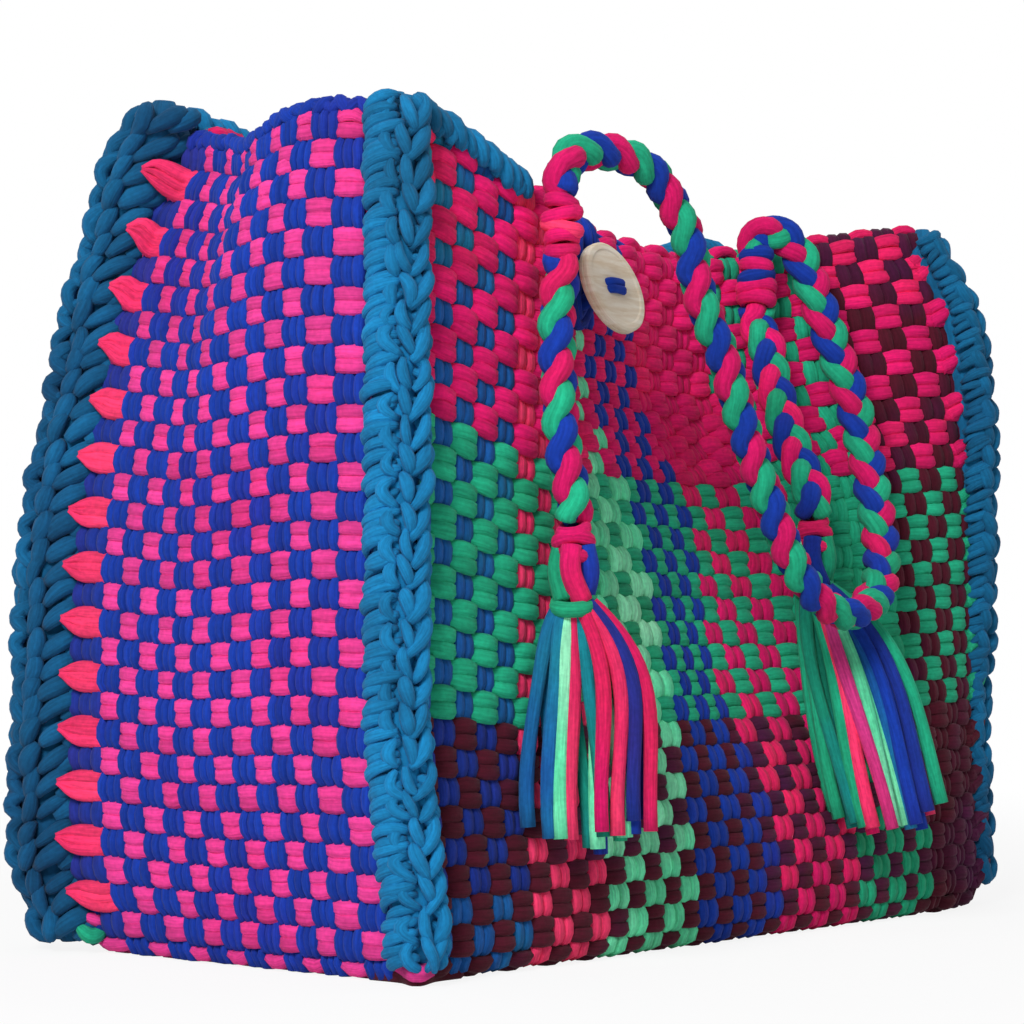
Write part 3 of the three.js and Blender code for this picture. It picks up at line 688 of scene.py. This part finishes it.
SIDE_LOBES = (
    ((12.0, 6.5, -1.0), (16.5, 2.0, 0.2), (21.0, -4.0, -1.6), 3.4),
    ((11.0, 0.6, -1.0), (16.0, -3.0, 0.0), (20.5, -8.4, -1.8), 3.2),
)
LEAVES = (
    ((-29.0, 5.0, -1.4), (-32.5, 0.0, 0.0), (-27.5, -7.0, -1.4), 3.8),
    ((-21.0, 6.0, -1.2), (-25.5, 0.0, 0.2), (-20.0, -7.0, -1.2), 3.9),
    ((-13.0, 6.0, -1.0), (-17.5, 0.0, 0.4), (-12.0, -7.0, -1.0), 3.5),
    ((-4.5, 7.4, -1.2), (-10.4, 0.4, 1.0), (-5.0, -7.4, -0.8), 3.4),
    ((24.0, 4.4, -3.0), (18.5, 0.8, -0.6), (11.0, -5.6, 0.2), 3.8),
    ((16.8, 5.0, -2.0), (11.0, 1.6, 1.0), (3.4, -5.0, 0.6), 3.8),
    ((1.6, 7.0, 0.2), (0.8, 0.0, 2.0), (-1.4, -7.0, 0.4), 3.5),
)
WRAPS = (
    ((-9.5, -4.6, -1.8), (-1.0, 0.0, 2.0), (7.5, 5.2, -1.2), 4.3),
    ((-8.0, 3.6, -2.2), (-1.0, 1.6, -0.6), (8.5, -2.4, -1.4), 3.6),
)
BRAID = (
    ((-4.5, -5.2, -0.8), (0.0, 0.0, 0.8), (4.0, 5.6, -0.6), 2.7),
    ((4.5, -4.6, -0.8), (0.5, 0.6, 0.4), (-4.0, 5.0, -0.8), 2.6),
)


def crochet(strands, place, starts, parts, colour, size, pitch_share, rough):
    """Stitches along a line: place(across, along, height) gives points and the way they face."""
    u = np.linspace(0, 1, 9)
    starts = np.asarray(starts, float)
    for a, b, c, radius in parts:
        spots = []
        for k in range(3):
            scale = pitch_share if k == 1 else size
            ends = [np.array([[q[k] * scale]]) + rng.normal(0, rough, (len(starts), 1)) for q in (a, b, c)]
            middle = 2 * ends[1] - 0.5 * (ends[0] + ends[2])
            spots.append((1 - u) ** 2 * ends[0] + 2 * u * (1 - u) * middle + u**2 * ends[2])
        across, along, height = spots
        points, facing = place(across, along + starts[:, None], height)
        profile = np.sin(np.pi * (0.1 + 0.8 * u)) ** 0.6 * radius * size
        width = profile * rng.normal(1, 0.1, (len(starts), 1))
        strands.add(points, facing, width, width * 0.92, shade(colour), 8)


STITCH = 11.2
BAND_RADIUS = 12.5


class Corner:
    """A crochet band up a corner, rounded over by dome at its top and by curl at its foot.

    inset is how far its axis lies behind the corner, overhang how far it stands above the wall, and bend the
    angle that it is rounded over by.
    """

    curl = 9.0
    inset = 4.0
    overhang = 13.0
    bend = 1.25
    core_girth = 9.0

    def __init__(
        self, plan, rise, outward, parts, radius=BAND_RADIUS, shift=(0.0, 0.0), size=1.0, dome=9.0, low=2.0,
        colour="deep_teal", pitch=STITCH,
    ):
        self.plan, self.outward, self.parts = plan, unit(np.array(outward, float)), parts
        self.radius, self.shift, self.size = radius, np.array(shift) - self.inset * self.outward, size
        self.height, self.dome, self.colour, self.pitch = WALL_HEIGHT + rise, dome, colour, pitch
        self.low, self.high = low, WALL_FOOT + self.height + self.overhang

    def axis(self, z):
        x, y = self.plan(np.clip((z - WALL_FOOT) / self.height, 0, 1))
        return x + self.shift[0], y + self.shift[1]

    def place(self, across, along, height):
        across, along, height = np.broadcast_arrays(across, along, height)
        over = np.clip((along - (self.high - self.dome)) / self.dome, 0, self.bend)
        under = np.clip((self.low + self.curl - along) / self.curl, 0, self.bend)
        z = np.clip(along, self.low + self.curl, self.high - self.dome)
        z = z + self.dome * np.sin(over) - self.curl * np.sin(under)
        lean = np.cos(over) * np.cos(under)
        x, y = self.axis(z)
        angle = across / self.radius
        ox, oy = self.outward
        cos, sin = np.cos(angle), np.sin(angle)
        facing = np.stack([ox * cos - oy * sin, oy * cos + ox * sin], -1)
        tilt = np.sin(over) - np.sin(under)
        facing = np.concatenate([facing * lean[..., None], tilt[..., None]], -1)
        reach = self.radius * lean
        points = np.stack([x, y, z], -1) + facing * height[..., None]
        level = unit(facing[..., :2] + 1e-9)
        points[..., :2] += level * reach[..., None]
        return points, unit(facing)

    def core(self, strands):
        z = np.linspace(self.low + 3, self.high - 2, 30)
        x, y = self.axis(z)
        to_end = np.minimum(z - self.low - 2, self.high - 1 - z)
        taper = np.sqrt(np.clip(to_end / self.core_girth, 0.1, 1))
        girth = self.core_girth * (taper * self.radius / BAND_RADIUS)
        line = np.stack([x + self.inset * self.outward[0], y + self.inset * self.outward[1], z], -1)
        strands.single(line, [1.0, 0, 0], girth, girth, self.colour, 12)

    def build(self, name, node_name):
        strands = Strands()
        self.core(strands)
        count = round((self.high - self.low) / self.pitch)
        starts = self.low + 7 + (self.high - self.low - 13) * (np.arange(count) + 0.4) / count
        starts = starts + rng.normal(0, 0.8, count)
        crochet(strands, self.place, starts, self.parts, self.colour, self.size, self.pitch / STITCH, 0.7)
        strands.piece(name, "teal_crochet", node_name)


def front_left_line(v):
    return front_plan(np.zeros_like(v), v)


# How far the right edging stands out, by height
RIGHT_BULGE = ((0.4, 0.55, 0.64, 0.73, 0.82, 0.9, 0.95, 1.0), (0, 1.5, 4.0, 8.0, 8.5, 5.0, -1.0, -10.0))


def front_right_line(v):
    x, y = front_plan(np.ones_like(v), v)
    out = np.interp(v, *RIGHT_BULGE)
    return x + 0.82 * out, y - 0.6 * out


def rear_line(v):
    x, y = back_left(v)
    out = 10 * smooth(v, 0.84, 1) - 3.5 * np.exp(-(((v - 0.7) / 0.12) ** 2))
    return x - 0.63 * out, y + 0.78 * out


RIGHT_PARTS = SIDE_LOBES + LOBES + WIDE_ARMS
near_band = Corner(front_left_line, 4, (-1, -1), LOBES + ARMS, size=1.08, colour="teal")
right_band = Corner(
    front_right_line, FRONT_RIGHT_RISE, (0.25, -1), RIGHT_PARTS, shift=(-6.0, 0.0), dome=15.0, low=6.0
)
far_band = Corner(back_right, BACK_RIGHT_RISE, (1, 1), LOBES + WIDE_ARMS)
# The rear band's darker teal is painted shade on the same teal crochet yarn as the other bands
rear_band = Corner(rear_line, 20, (-1, -0.15), LEAVES, 17.5, (0.0, -7.6), 1.09, 14.0, 0.5, "painted_shade_teal", 9.9)
near_band.build("near_edging", "front_left_edging")
right_band.build("right_edging", "front_right_edging")
far_band.build("back_right_edge", "back_right_edging")
rear_band.build("back_left_edge", "back_left_edging")


class Rim:
    """A crochet chain along the top of a wall."""

    def __init__(self, wall, radius, lift, tilt):
        self.wall, self.radius, self.lift, self.tilt = wall, radius, lift, tilt
        c = np.linspace(-0.4, wall.columns + 0.4, 200)
        points, out, _, _ = wall.frame(c, np.full_like(c, wall.start + 0.15))
        step = np.linalg.norm(np.diff(points, axis=0), axis=-1)
        self.travel = np.concatenate([[0], np.cumsum(step)])
        self.points, self.out = points, unit(out * [1, 1, 0])
        self.length = self.travel[-1]

    def place(self, across, along, height):
        across, along, height = np.broadcast_arrays(across, along, height)

        def read(table):
            return np.stack([np.interp(along, self.travel, table[:, k]) for k in range(3)], -1)

        centre, out = read(self.points), unit(read(self.out))
        centre = centre + UP * self.lift
        angle = (across / self.radius + self.tilt)[..., None]
        facing = UP * np.cos(angle) + out * np.sin(angle)
        return centre + facing * (self.radius + height)[..., None], facing

    def build(self, name, slot, colour, node_name, start=0.0, end=1.0, pitch=8.5, size=1.0, parts=WRAPS):
        strands = Strands()
        span = self.length * (end - start)
        count = max(round(span / pitch), 1)
        starts = self.length * start + span * (np.arange(count) + 0.5) / count
        crochet(strands, self.place, starts, parts, colour, size, 1.0, 0.6)
        strands.piece(name, slot, node_name)


for side, wall, lift, start, end in (("left", left, 9.0, 0.03, 0.97), ("right", right, 7.0, 0.0, 1.0)):
    gusset_rim = Rim(wall, 2.6, lift, 0.3)
    gusset_rim.build(f"{side}_gusset_rim", "royal_yarn", "royal", f"{side}_rim", start, end, 6.5, parts=BRAID)
Rim(back, 6.4, 7.0, 0.3).build("back_rim_chain", "teal_crochet", "teal", "back_rim")
Rim(front, 6.4, 6.0, 0.6).build("front_rim_wraps", "rim_wraps", "teal", "front_rim", 0.0, 0.17, 7.5, 0.9)


# Seams beside the rear band and the right edging
def seam(name, wall, colour):
    strands = Strands()
    line, out, _, _ = wall.frame(np.full(60, -0.45), np.linspace(-0.6, wall.rows + 0.8, 60))
    strands.single(line, out, 5.0, 3.0, colour)
    strands.piece(name, "teal_crochet")


seam("rear_seam", left, "dark_green")
seam("right_seam", right, "deep_teal")


# Ends of the weft: they lie over the edging and run to a point
def front_teeth():
    strands = Strands()
    u = np.linspace(0, 1, 9)
    c = mixed(FRONT_COLUMNS - 0.8, FRONT_COLUMNS + 0.3, u)
    rise = mixed(2.6, 8.0, smooth(u, 0.0, 0.9))
    width = mixed(3.3, 0.6, smooth(u, 0.3, 1.0))
    for row in range(0, WALL_ROWS, 2):
        for side in (-1, 1):
            r = row + 0.55 + side * mixed(0.27, 0.03, smooth(u, 0.25, 1)) - 0.62 * u
            points, out, _, _ = front.frame(c, r)
            points = points + out * rise[:, None]
            strands.add(points[None], out, width, 0.85 * width, plaid_weft(row), 8)
    strands.piece("front_right_teeth", "plaid_cloth")


def band_teeth():
    """Ends of the left gusset's weft, drawn over the rear band."""
    strands = Strands()
    for row in range(1, 29, 2):
        level = left.at(0.0, row + 0.5)[2] + 5 * smooth(-row, -14, 0)
        for side in (0, -1, 1):
            base = [left.frame(c, row + 0.5 + 0.3 * side) for c in (1.0, 0.6)]
            end = 9.8 + 0.07 * row
            tip, _ = rear_band.place(end, level + 1.2 - 0.4 * side, 6.2)
            near_tip, _ = rear_band.place(end + 4, level + 0.2 - 3.0 * side, 7.2)
            bends = [place + out * rise for (place, out, _, _), rise in zip(base, (1.6, 3.6))]
            line, travel = curve([*bends, near_tip, tip], 2.5)
            share = travel / travel[-1]
            width = mixed(3.3, 0.9, smooth(share, 0.45, 1.0))
            strands.single(line, [-0.85, -0.5, 0.0], width, 0.9 * width, "coral", 9)
    strands.piece("left_gusset_teeth", "check_cloth")


band_teeth()
front_teeth()


# The weft turns the lower corner below the edging
def corner_foot(name, slot, height, out, colour):
    strands = Strands(0.8)
    side = left.at([13.0, 14.2], 29.3)
    face = front.at([0.6, 1.8], 27.4)
    corner = np.array([*front_plan(0.0, 0.0), 0.0])
    route = np.concatenate([side, [corner + [-out, -out, 0]], face])
    route[:, 2] = height
    line, _ = curve(route, 2.0)
    strands.single(line, [-0.7, -0.7, 0.0], 3.4, 3.0, colour)
    strands.piece(name, slot)


def rear_foot(name, slot, places, girth, colour):
    strands = Strands()
    points = np.array([rear_band.place(*place)[0] for place in places])
    line, travel = curve(points, 1.5)
    width = girth * np.sin(np.pi * (0.12 + 0.76 * travel / travel[-1])) ** 0.6
    strands.single(line, [-0.78, -0.63, 0.0], width, width, colour)
    strands.piece(name, slot)


GREEN_FOOT = ((12.0, 11.0, 3.0), (16.0, 8.0, 5.0), (22.0, 9.0, 3.0))
PINK_FOOT = ((15.0, 15.0, 3.0), (19.0, 13.5, 4.5), (24.0, 14.0, 2.0))
rear_foot("rear_foot_green", "plaid_cloth", GREEN_FOOT, 3.4, "green")
rear_foot("rear_foot_pink", "check_cloth", PINK_FOOT, 3.0, "hot_pink")
corner_foot("near_foot_pink", "check_cloth", 5.2, 5.0, "hot_pink")
corner_foot("near_foot_maroon", "plaid_cloth", 3.2, 2.0, "maroon")


# Ropes of three strands along the solids' routes
def knot_place(node_name):
    low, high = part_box(node_name)
    middle = np.array([(low.x + high.x) / 2, (low.y + high.y) / 2, low.z]) / MM - SHIFT
    return middle, (high.z - low.z) / MM


left_knot, knot_height = knot_place("left_handle_knot")
right_knot, _ = knot_place("right_handle_knot")
HANDLE = [
    [-134, -107, 311], [-125, -106, 317], [-108, -106, 320], [-90, -107, 319], [-76, -108, 314],
    [-66, -110, 303], [-58, -112, 289], [-53, -112, 273], [-47, -113, 259], [-38, -114, 245],
    [-30, -115, 227], [-19, -116, 204], [-7, -118, 181], [4, -120, 161], [17, -121, 148],
    [32, -120, 141], [49, -119, 138], [70, -115, 141], [91, -109, 151], [104, -102, 166],
    [110, -96, 182], [115, -89, 201], [119, -82, 220], [119, -77, 237], [117, -71, 255],
    [113, -67, 271], [111, -63, 284], [110, -59, 295], [107, -55, 306], [102, -51, 312],
    [95, -48, 314],
]
LEFT_TAIL = [[-137, -106, 257], [-137, -106, 237], [-137, -107, 218], [-135, -108, 198], [-132, -110, 182]]
RIGHT_TAIL = [[86, -52, 262], [82, -58, 246], [79, -65, 230], [75, -75, 210], [70, -88, 190]]
EDGE_WAY, FACE_ON = np.array([-0.89, -0.45, 0.0]), np.array([-0.45, -0.89, 0.0])
ROPE_SHADES = ("magenta", "royal", "green")
PLAIT_CYCLE, PLAIT_SWING, PLAIT_DEPTH = 38.0, 4.5, 2.7
ROPE_LEAD, GAP = 8, 0.3
TAIL_KNOT_HEIGHT, TASSEL_WRAP_HEIGHT = 24, 15


def rope(name, node_name, route, turned):
    """A plait of three; it shows its edge up to the share turned of its length, then its face."""
    line, travel = curve(route, 1.6)
    length = travel[-1]
    ahead = unit(np.gradient(line, axis=0))
    flat = smooth(travel, turned * length - 30, turned * length + 30)
    edge = unit(EDGE_WAY - ahead * (ahead @ EDGE_WAY)[:, None])
    across = unit(mixed(edge, unit(np.cross(ahead, FACE_ON)), flat[:, None]))
    depth = np.cross(across, ahead)
    strands = Strands()
    for k, colour in enumerate(ROPE_SHADES):
        weave = 2 * np.pi * (travel / PLAIT_CYCLE + k / 3)
        swing, dip = PLAIT_SWING * np.sin(weave), PLAIT_DEPTH * np.sin(2 * weave)
        path = line + across * swing[:, None] + depth * dip[:, None]
        girth = 4.5 + 0.4 * np.cos(2 * weave)
        strands.single(path, depth, girth, girth, colour, 12)
    made = strands.piece(name, "rope_yarn", node_name)


# Windings: rings of yarn round a rope, each tilted a little
def windings(name, slot, node_name, centre, rings):
    strands = Strands()
    u = np.linspace(0, 2 * np.pi * 1.04, 34)
    for height, radius, thick, tilt, start, colour in rings:
        angle = u + start
        way = np.stack([np.cos(angle), np.sin(angle), np.zeros_like(u)], -1)
        swell = 1 + 0.12 * np.sin(2 * angle + height)
        level = height + tilt * np.cos(angle - start * 0.5)
        path = centre + way * (radius * swell)[:, None] + UP * level[:, None]
        strands.single(path, way, thick, thick * 0.85, colour)
    return strands.piece(name, slot, node_name)


windings(
    "left_knot_wraps", "knot_yarn", "left_handle_knot", left_knot,
    [
        (2, 4.6, 3.0, 1.0, 0.3, "magenta"), (6.5, 5.4, 3.0, -1.6, 2.1, "magenta"),
        (11, 5.8, 3.1, 1.8, 3.4, "coral"), (15.5, 5.4, 3.0, -1.4, 4.6, "magenta"),
        (20.5, 4.6, 3.0, 1.2, 5.6, "magenta"),
    ],
)
windings(
    "right_knot_wraps", "knot_yarn", "right_handle_knot", right_knot,
    [
        (4, 5.8, 3.6, -1.5, 0.3, "magenta"), (9, 6.2, 3.6, -2.0, 2.1, "magenta"),
        (14, 6.2, 3.6, -1.6, 4.0, "royal"), (19, 5.8, 3.6, 0.8, 5.2, "magenta"),
        (24, 5.4, 3.4, -1.0, 1.2, "royal"),
    ],
)


def tail(side, knot, route, tail_shades):
    """The knot, neck and tassel band at a tail's end, and the places that its rope runs through."""
    start = knot - UP * GAP
    bends = [start - UP * ROPE_LEAD] + [np.array(p, float) for p in route]
    end = bends[-1] - UP * ROPE_LEAD
    foot = end - UP * (TAIL_KNOT_HEIGHT + GAP)
    wrap_foot = foot - UP * (TASSEL_WRAP_HEIGHT + GAP)
    knot_piece = windings(
        f"{side}_tail_knot_wraps", "knot_yarn", f"{side}_tail_knot", foot,
        [
            (20, 5.0, 2.8, 1.6, 0.4, "magenta"), (15.5, 5.6, 3.0, -2.4, 1.6, "magenta"),
            (12.0, 5.0, 2.6, 2.0, 3.0, "magenta"),
        ],
    )
    lower = Strands()
    for k, colour in enumerate(tail_shades):
        angle = 2 * np.pi * k / len(tail_shades) + 0.5
        way = np.array([math.cos(angle), math.sin(angle), 0])
        turned = np.array([math.cos(angle + 0.9), math.sin(angle + 0.9), 0])
        bend, low = foot + UP * 4 + way * 6.2, wrap_foot + UP * 8 + turned * 5.0
        line, _ = curve([foot + UP * 14 + way * 4.5, bend, low], 2.0)
        lower.single(line, way, 4.2, 4.0, colour)
    lower_piece = lower.piece(f"{side}_tail_neck", "knot_yarn")
    wrap_piece = windings(
        f"{side}_tassel_band", "knot_yarn", f"{side}_tassel_wrap", wrap_foot,
        [(7.0, 7.4, 3.2, 2.4, 1.0, "green")],
    )
    return start, bends, end, wrap_foot, [knot_piece, lower_piece, wrap_piece]


VIEW_RIGHT = np.array([0.6294, -0.7771, 0.0])


def tassel(side, top, sway, strands_list):
    """Cut strands: each (sideways, forwards, length, curl, colour) at its lower end."""
    strands = Strands()
    view_front = np.cross(VIEW_RIGHT, UP)
    u = np.linspace(0, 1, 16)
    for sideways, forwards, length, curl, colour in strands_list:
        length, curl = length + rng.uniform(-6, 0), 1.5 * curl
        sideways, forwards = sideways + rng.uniform(-1.5, 1.5), forwards + rng.uniform(-1, 1)
        start = top + VIEW_RIGHT * (0.25 * sideways) + view_front * (0.4 * forwards) + UP * 7
        foot = top + VIEW_RIGHT * (sideways + 5) + view_front * forwards - UP * length
        foot = foot + np.asarray(sway, float)
        belly = mixed(start, foot, 0.3) + VIEW_RIGHT * (0.62 * sideways) + UP * 6
        path = (1 - u)[:, None] ** 2 * start + (2 * u * (1 - u))[:, None] * belly + u[:, None] ** 2 * foot
        path = path + VIEW_RIGHT * (curl * 2.2 * np.sin(np.pi * u * 1.6) * u)[:, None]
        girth = 2.95 + 0.2 * np.sin(9 * u + sideways)
        strands.single(path, view_front, girth, 0.95 * girth, colour, 12)
    return strands.piece(f"{side}_tassel_strands", "tassel_yarn", f"{side}_tassel")


LEFT_STRANDS = [
    (-18, 4, 84, 1.0, "sea_blue"), (-14, -3, 82, -0.8, "teal"), (-13, 8, 85, 0.8, "sea_blue"),
    (-8, 10, 84, 0.8, "mint"), (-9, 2, 86, -0.6, "dark_green"), (-2, 9, 86, 0.8, "coral"),
    (-1, 0, 87, -1.0, "dark_green"), (4, 8, 82, -0.5, "dark_green"), (5, 3, 88, 0.6, "mint"),
    (7, -3, 90, 0.5, "royal"), (9, 12, 85, 1.2, "magenta"), (13, 5, 86, -0.9, "mint"),
    (16, 10, 83, 1.6, "coral"), (20, 4, 84, 0.8, "royal"), (22, 9, 81, 1.4, "navy"),
    (27, 6, 85, 1.2, "magenta"), (15, -4, 86, 0.5, "green"), (25, -1, 80, 0.9, "navy"),
]
RIGHT_STRANDS = [
    (-15, 3, 82, 0.8, "green"), (-12, 8, 84, -0.8, "dark_green"), (-17, -3, 80, 0.6, "green"),
    (-8, 3, 87, 0.7, "dark_green"), (-5, 10, 85, 0.8, "green"), (-1, 13, 88, 0.8, "coral"),
    (1, 2, 90, 0.8, "magenta"), (4, 14, 84, -0.6, "hot_pink"), (9, 12, 87, 0.6, "mint"),
    (12, 6, 86, -0.4, "mint"), (16, 7, 84, 0.5, "sea_blue"), (16, 3, 88, 0.8, "royal"),
    (19, 9, 83, 1.0, "royal"), (22, 4, 86, 1.0, "royal"), (25, 8, 82, 1.2, "navy"),
    (26, -2, 84, 0.8, "coral"), (30, 5, 78, 1.0, "green"),
]

left_start, left_bends, left_end, left_wrap, left_pieces = tail(
    "left", left_knot, LEFT_TAIL, ("royal", "green", "magenta", "royal")
)
right_start, right_bends, right_end, right_wrap, right_pieces = tail(
    "right", right_knot, RIGHT_TAIL, ("magenta", "mint", "royal", "green")
)
left_pieces.append(tassel("left", left_wrap, (0, 0, 0), LEFT_STRANDS))
right_pieces.append(tassel("right", right_wrap, (3, -25, -14), RIGHT_STRANDS))

handle_start = left_knot + UP * (knot_height + GAP)
handle_end = right_knot + UP * (knot_height + GAP)
handle_route = [handle_start, handle_start + UP * ROPE_LEAD, *HANDLE, handle_end + UP * ROPE_LEAD, handle_end]
left_route, right_route = [left_start, *left_bends, left_end], [right_start, *right_bends, right_end]
rope("handle", "handle_rope", handle_route, 0.6)
rope("left_tail", "left_tail_rope", left_route, 2.0)
rope("right_tail", "right_tail_rope", right_route, -1.0)


# Wooden button with its stitch, and the loop that holds it
BUTTON_FACING = unit(np.array([0.07, -0.94, 0.33]))


def wood_material():
    material, tree, shader = plain_material("pale_wood", 0.55, 0.35)
    place = node(tree, "ShaderNodeTexCoord").outputs["Object"]
    stretched = node(tree, "ShaderNodeMapping", {"Vector": place, "Scale": (60.0, 60.0, 420.0)}).outputs[0]
    grain = noise(tree, stretched, 1.0, 4.0, 0.6)
    colour = colour_mix(tree, ramp(tree, grain, 0.35, 0.68), linear("#ece2d0"), linear("#d8c4a6"))
    tree.links.new(colour, shader.inputs["Base Color"])
    bump = node(tree, "ShaderNodeBump", {"Height": grain, "Strength": 0.15, "Distance": 0.0004})
    tree.links.new(bump.outputs[0], shader.inputs["Normal"])
    return material


def button():
    low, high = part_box("button")
    centre = np.array((low + high) / 2) / MM - SHIFT
    across = unit(np.cross(UP, -BUTTON_FACING))
    rise = np.cross(across, BUTTON_FACING)
    back_height, front_height = -2.5, 1.6
    profile = [
        (18.6, back_height), (19.6, -2.1), (20.0, -1.4), (20.0, -0.2), (19.3, 0.1), (19.3, 0.5), (20.0, 0.8),
        (19.8, 1.8), (19.0, 2.4), (17.6, 2.5), (16.8, 2.4), (16.2, 1.9), (14.0, 1.7), (6.0, front_height),
    ]
    turns = 64
    angle = 2 * np.pi * np.arange(turns) / turns
    way = across * np.cos(angle)[:, None] + rise * np.sin(angle)[:, None]
    rings = [centre + way * radius + BUTTON_FACING * height for radius, height in profile]
    middles = [centre + BUTTON_FACING * back_height, centre + BUTTON_FACING * front_height]
    points = np.concatenate([middles[:1], *rings, middles[1:]])
    faces = []
    for k in range(turns):
        after = (k + 1) % turns
        faces.append((0, 1 + after, 1 + k))
        for ring in range(len(rings) - 1):
            a, b = 1 + ring * turns, 1 + (ring + 1) * turns
            faces.append((a + k, a + after, b + after, b + k))
        last = 1 + (len(rings) - 1) * turns
        faces.append((last + k, last + after, len(points) - 1))
    mesh = bpy.data.meshes.new("wooden_button")
    mesh.from_pydata(to_frame(points).tolist(), [], faces)
    mesh.materials.append(wood_material())
    mesh.polygons.foreach_set("use_smooth", np.ones(len(mesh.polygons), bool))
    mesh.set_sharp_from_angle(angle=0.55)
    mesh.update()
    placed("wooden_button", mesh, "pale_wood", "button")
    stitch = Strands()
    u = np.linspace(-1, 1, 15)
    for lift, shift in ((0.0, -1.5), (0.3, 1.5)):
        arch = 2.6 * np.sqrt(np.maximum(1 - u**4, 0)) - 1.2 + lift
        path = centre + across * (u * 5.6)[:, None] + rise * shift + BUTTON_FACING * (1.2 + arch)[:, None]
        stitch.single(path, BUTTON_FACING, 1.9, 1.8, "royal")
    shank = [centre - BUTTON_FACING * 2.5, centre - BUTTON_FACING * 10, centre - BUTTON_FACING * 20]
    line, _ = curve(shank, 3.0)
    stitch.single(line, across, 3.4, 2.6, "royal")
    stitch.piece("button_stitch", "royal_yarn", "button_yarn")


button()


LOOP_HALF_WIDTH = 11.5 / 12.2
LOOP_STANDOFF = 8.2
LOOP_WAY = [0.1, -1.0, 0.1]


def loop_leg(side):
    column = BUTTON_COLUMN + side * LOOP_HALF_WIDTH
    top = front.at(column, 0.3)
    low = [front.frame(column, r) for r in (1.4, 2.1)]
    rear = back.at(FRONT_COLUMNS - column, 0.0)
    crest = top[2] + 18
    return [
        [top[0], rear[1] - 6, rear[2] + 6],
        [top[0], (rear[1] + top[1]) / 2, crest],
        [top[0], top[1] + 2, crest],
        [top[0], top[1] - 10.5, crest - 7],
        *[place + way * LOOP_STANDOFF for place, way, _, _ in low],
    ]


loop = Strands()
under, under_way, _, _ = front.frame(BUTTON_COLUMN, 2.9)
loop_line, _ = curve([*loop_leg(-1), under + under_way * LOOP_STANDOFF, *loop_leg(1)[::-1]], 2.5)
aside = unit(np.cross(np.gradient(loop_line, axis=0), LOOP_WAY))
for sideways in (-1, 1):
    loop.single(loop_line + aside * sideways * 1.9, LOOP_WAY, 2.4, 2.4, "royal")
loop.piece("button_loop", "royal_yarn", "closure_loop")


# Pale floor, white surroundings and soft light
def camera_side(tree):
    rays = node(tree, "ShaderNodeLightPath").outputs
    seen = maths(tree, "MAXIMUM", rays["Is Camera Ray"], rays["Is Glossy Ray"])
    return maths(tree, "MAXIMUM", seen, rays["Is Transmission Ray"])


def floor():
    mesh = bpy.data.meshes.new("floor")
    mesh.from_pydata([(-9, -9, 0), (9, -9, 0), (9, 9, 0), (-9, 9, 0)], [], [(0, 1, 2, 3)])
    material = bpy.data.materials.new("floor")
    material.use_nodes = True
    tree = material.node_tree
    tree.nodes.clear()
    lit = node(tree, "ShaderNodeBsdfDiffuse", {"Color": (0.86, 0.86, 0.86, 1)})
    glow = node(tree, "ShaderNodeEmission", {"Color": (1, 1, 1, 1), "Strength": 1.0})
    place = node(tree, "ShaderNodeTexCoord").outputs["Object"]
    reach = node(tree, "ShaderNodeVectorMath", {0: place}, operation="LENGTH").outputs["Value"]
    paler = ramp(tree, reach, 0.3, 1.1, 0.88, 1.0)
    share = maths(tree, "MULTIPLY", camera_side(tree), paler)
    mix = node(tree, "ShaderNodeMixShader", {0: share, 1: lit.outputs[0], 2: glow.outputs[0]})
    node(tree, "ShaderNodeOutputMaterial", {"Surface": mix.outputs[0]})
    mesh.materials.append(material)
    linked("floor", mesh)


def surroundings():
    world = bpy.data.worlds.new("studio")
    bpy.context.scene.world = world
    world.use_nodes = True
    tree = world.node_tree
    tree.nodes.clear()
    soft = node(tree, "ShaderNodeBackground", {"Color": (1, 1, 1, 1), "Strength": 0.26}).outputs[0]
    white = node(tree, "ShaderNodeBackground", {"Color": (1, 1, 1, 1), "Strength": 1.0}).outputs[0]
    pick = node(tree, "ShaderNodeMixShader", {0: camera_side(tree), 1: soft, 2: white})
    node(tree, "ShaderNodeOutputWorld", {"Surface": pick.outputs[0]})


def lamp(name, place, aim, size, power, colour):
    data = bpy.data.lights.new(name, "AREA")
    data.size = size
    data.energy = power
    data.color = colour
    aimed(name, data, place, Vector(aim) - Vector(place))


floor()
surroundings()
lamp("key", (-2.0, -0.75, 1.4), (0, 0, 0.15), 0.7, 46, (0.97, 0.98, 1.0))
lamp("fill", (1.6, -1.2, 1.2), (0, 0, 0.15), 1.2, 4, (1.0, 0.95, 0.92))
lamp("top", (0.0, 0.2, 1.9), (0, 0, 0.1), 1.4, 6, (1.0, 1.0, 1.0))

bpy.context.scene.view_settings.view_transform = "Standard"
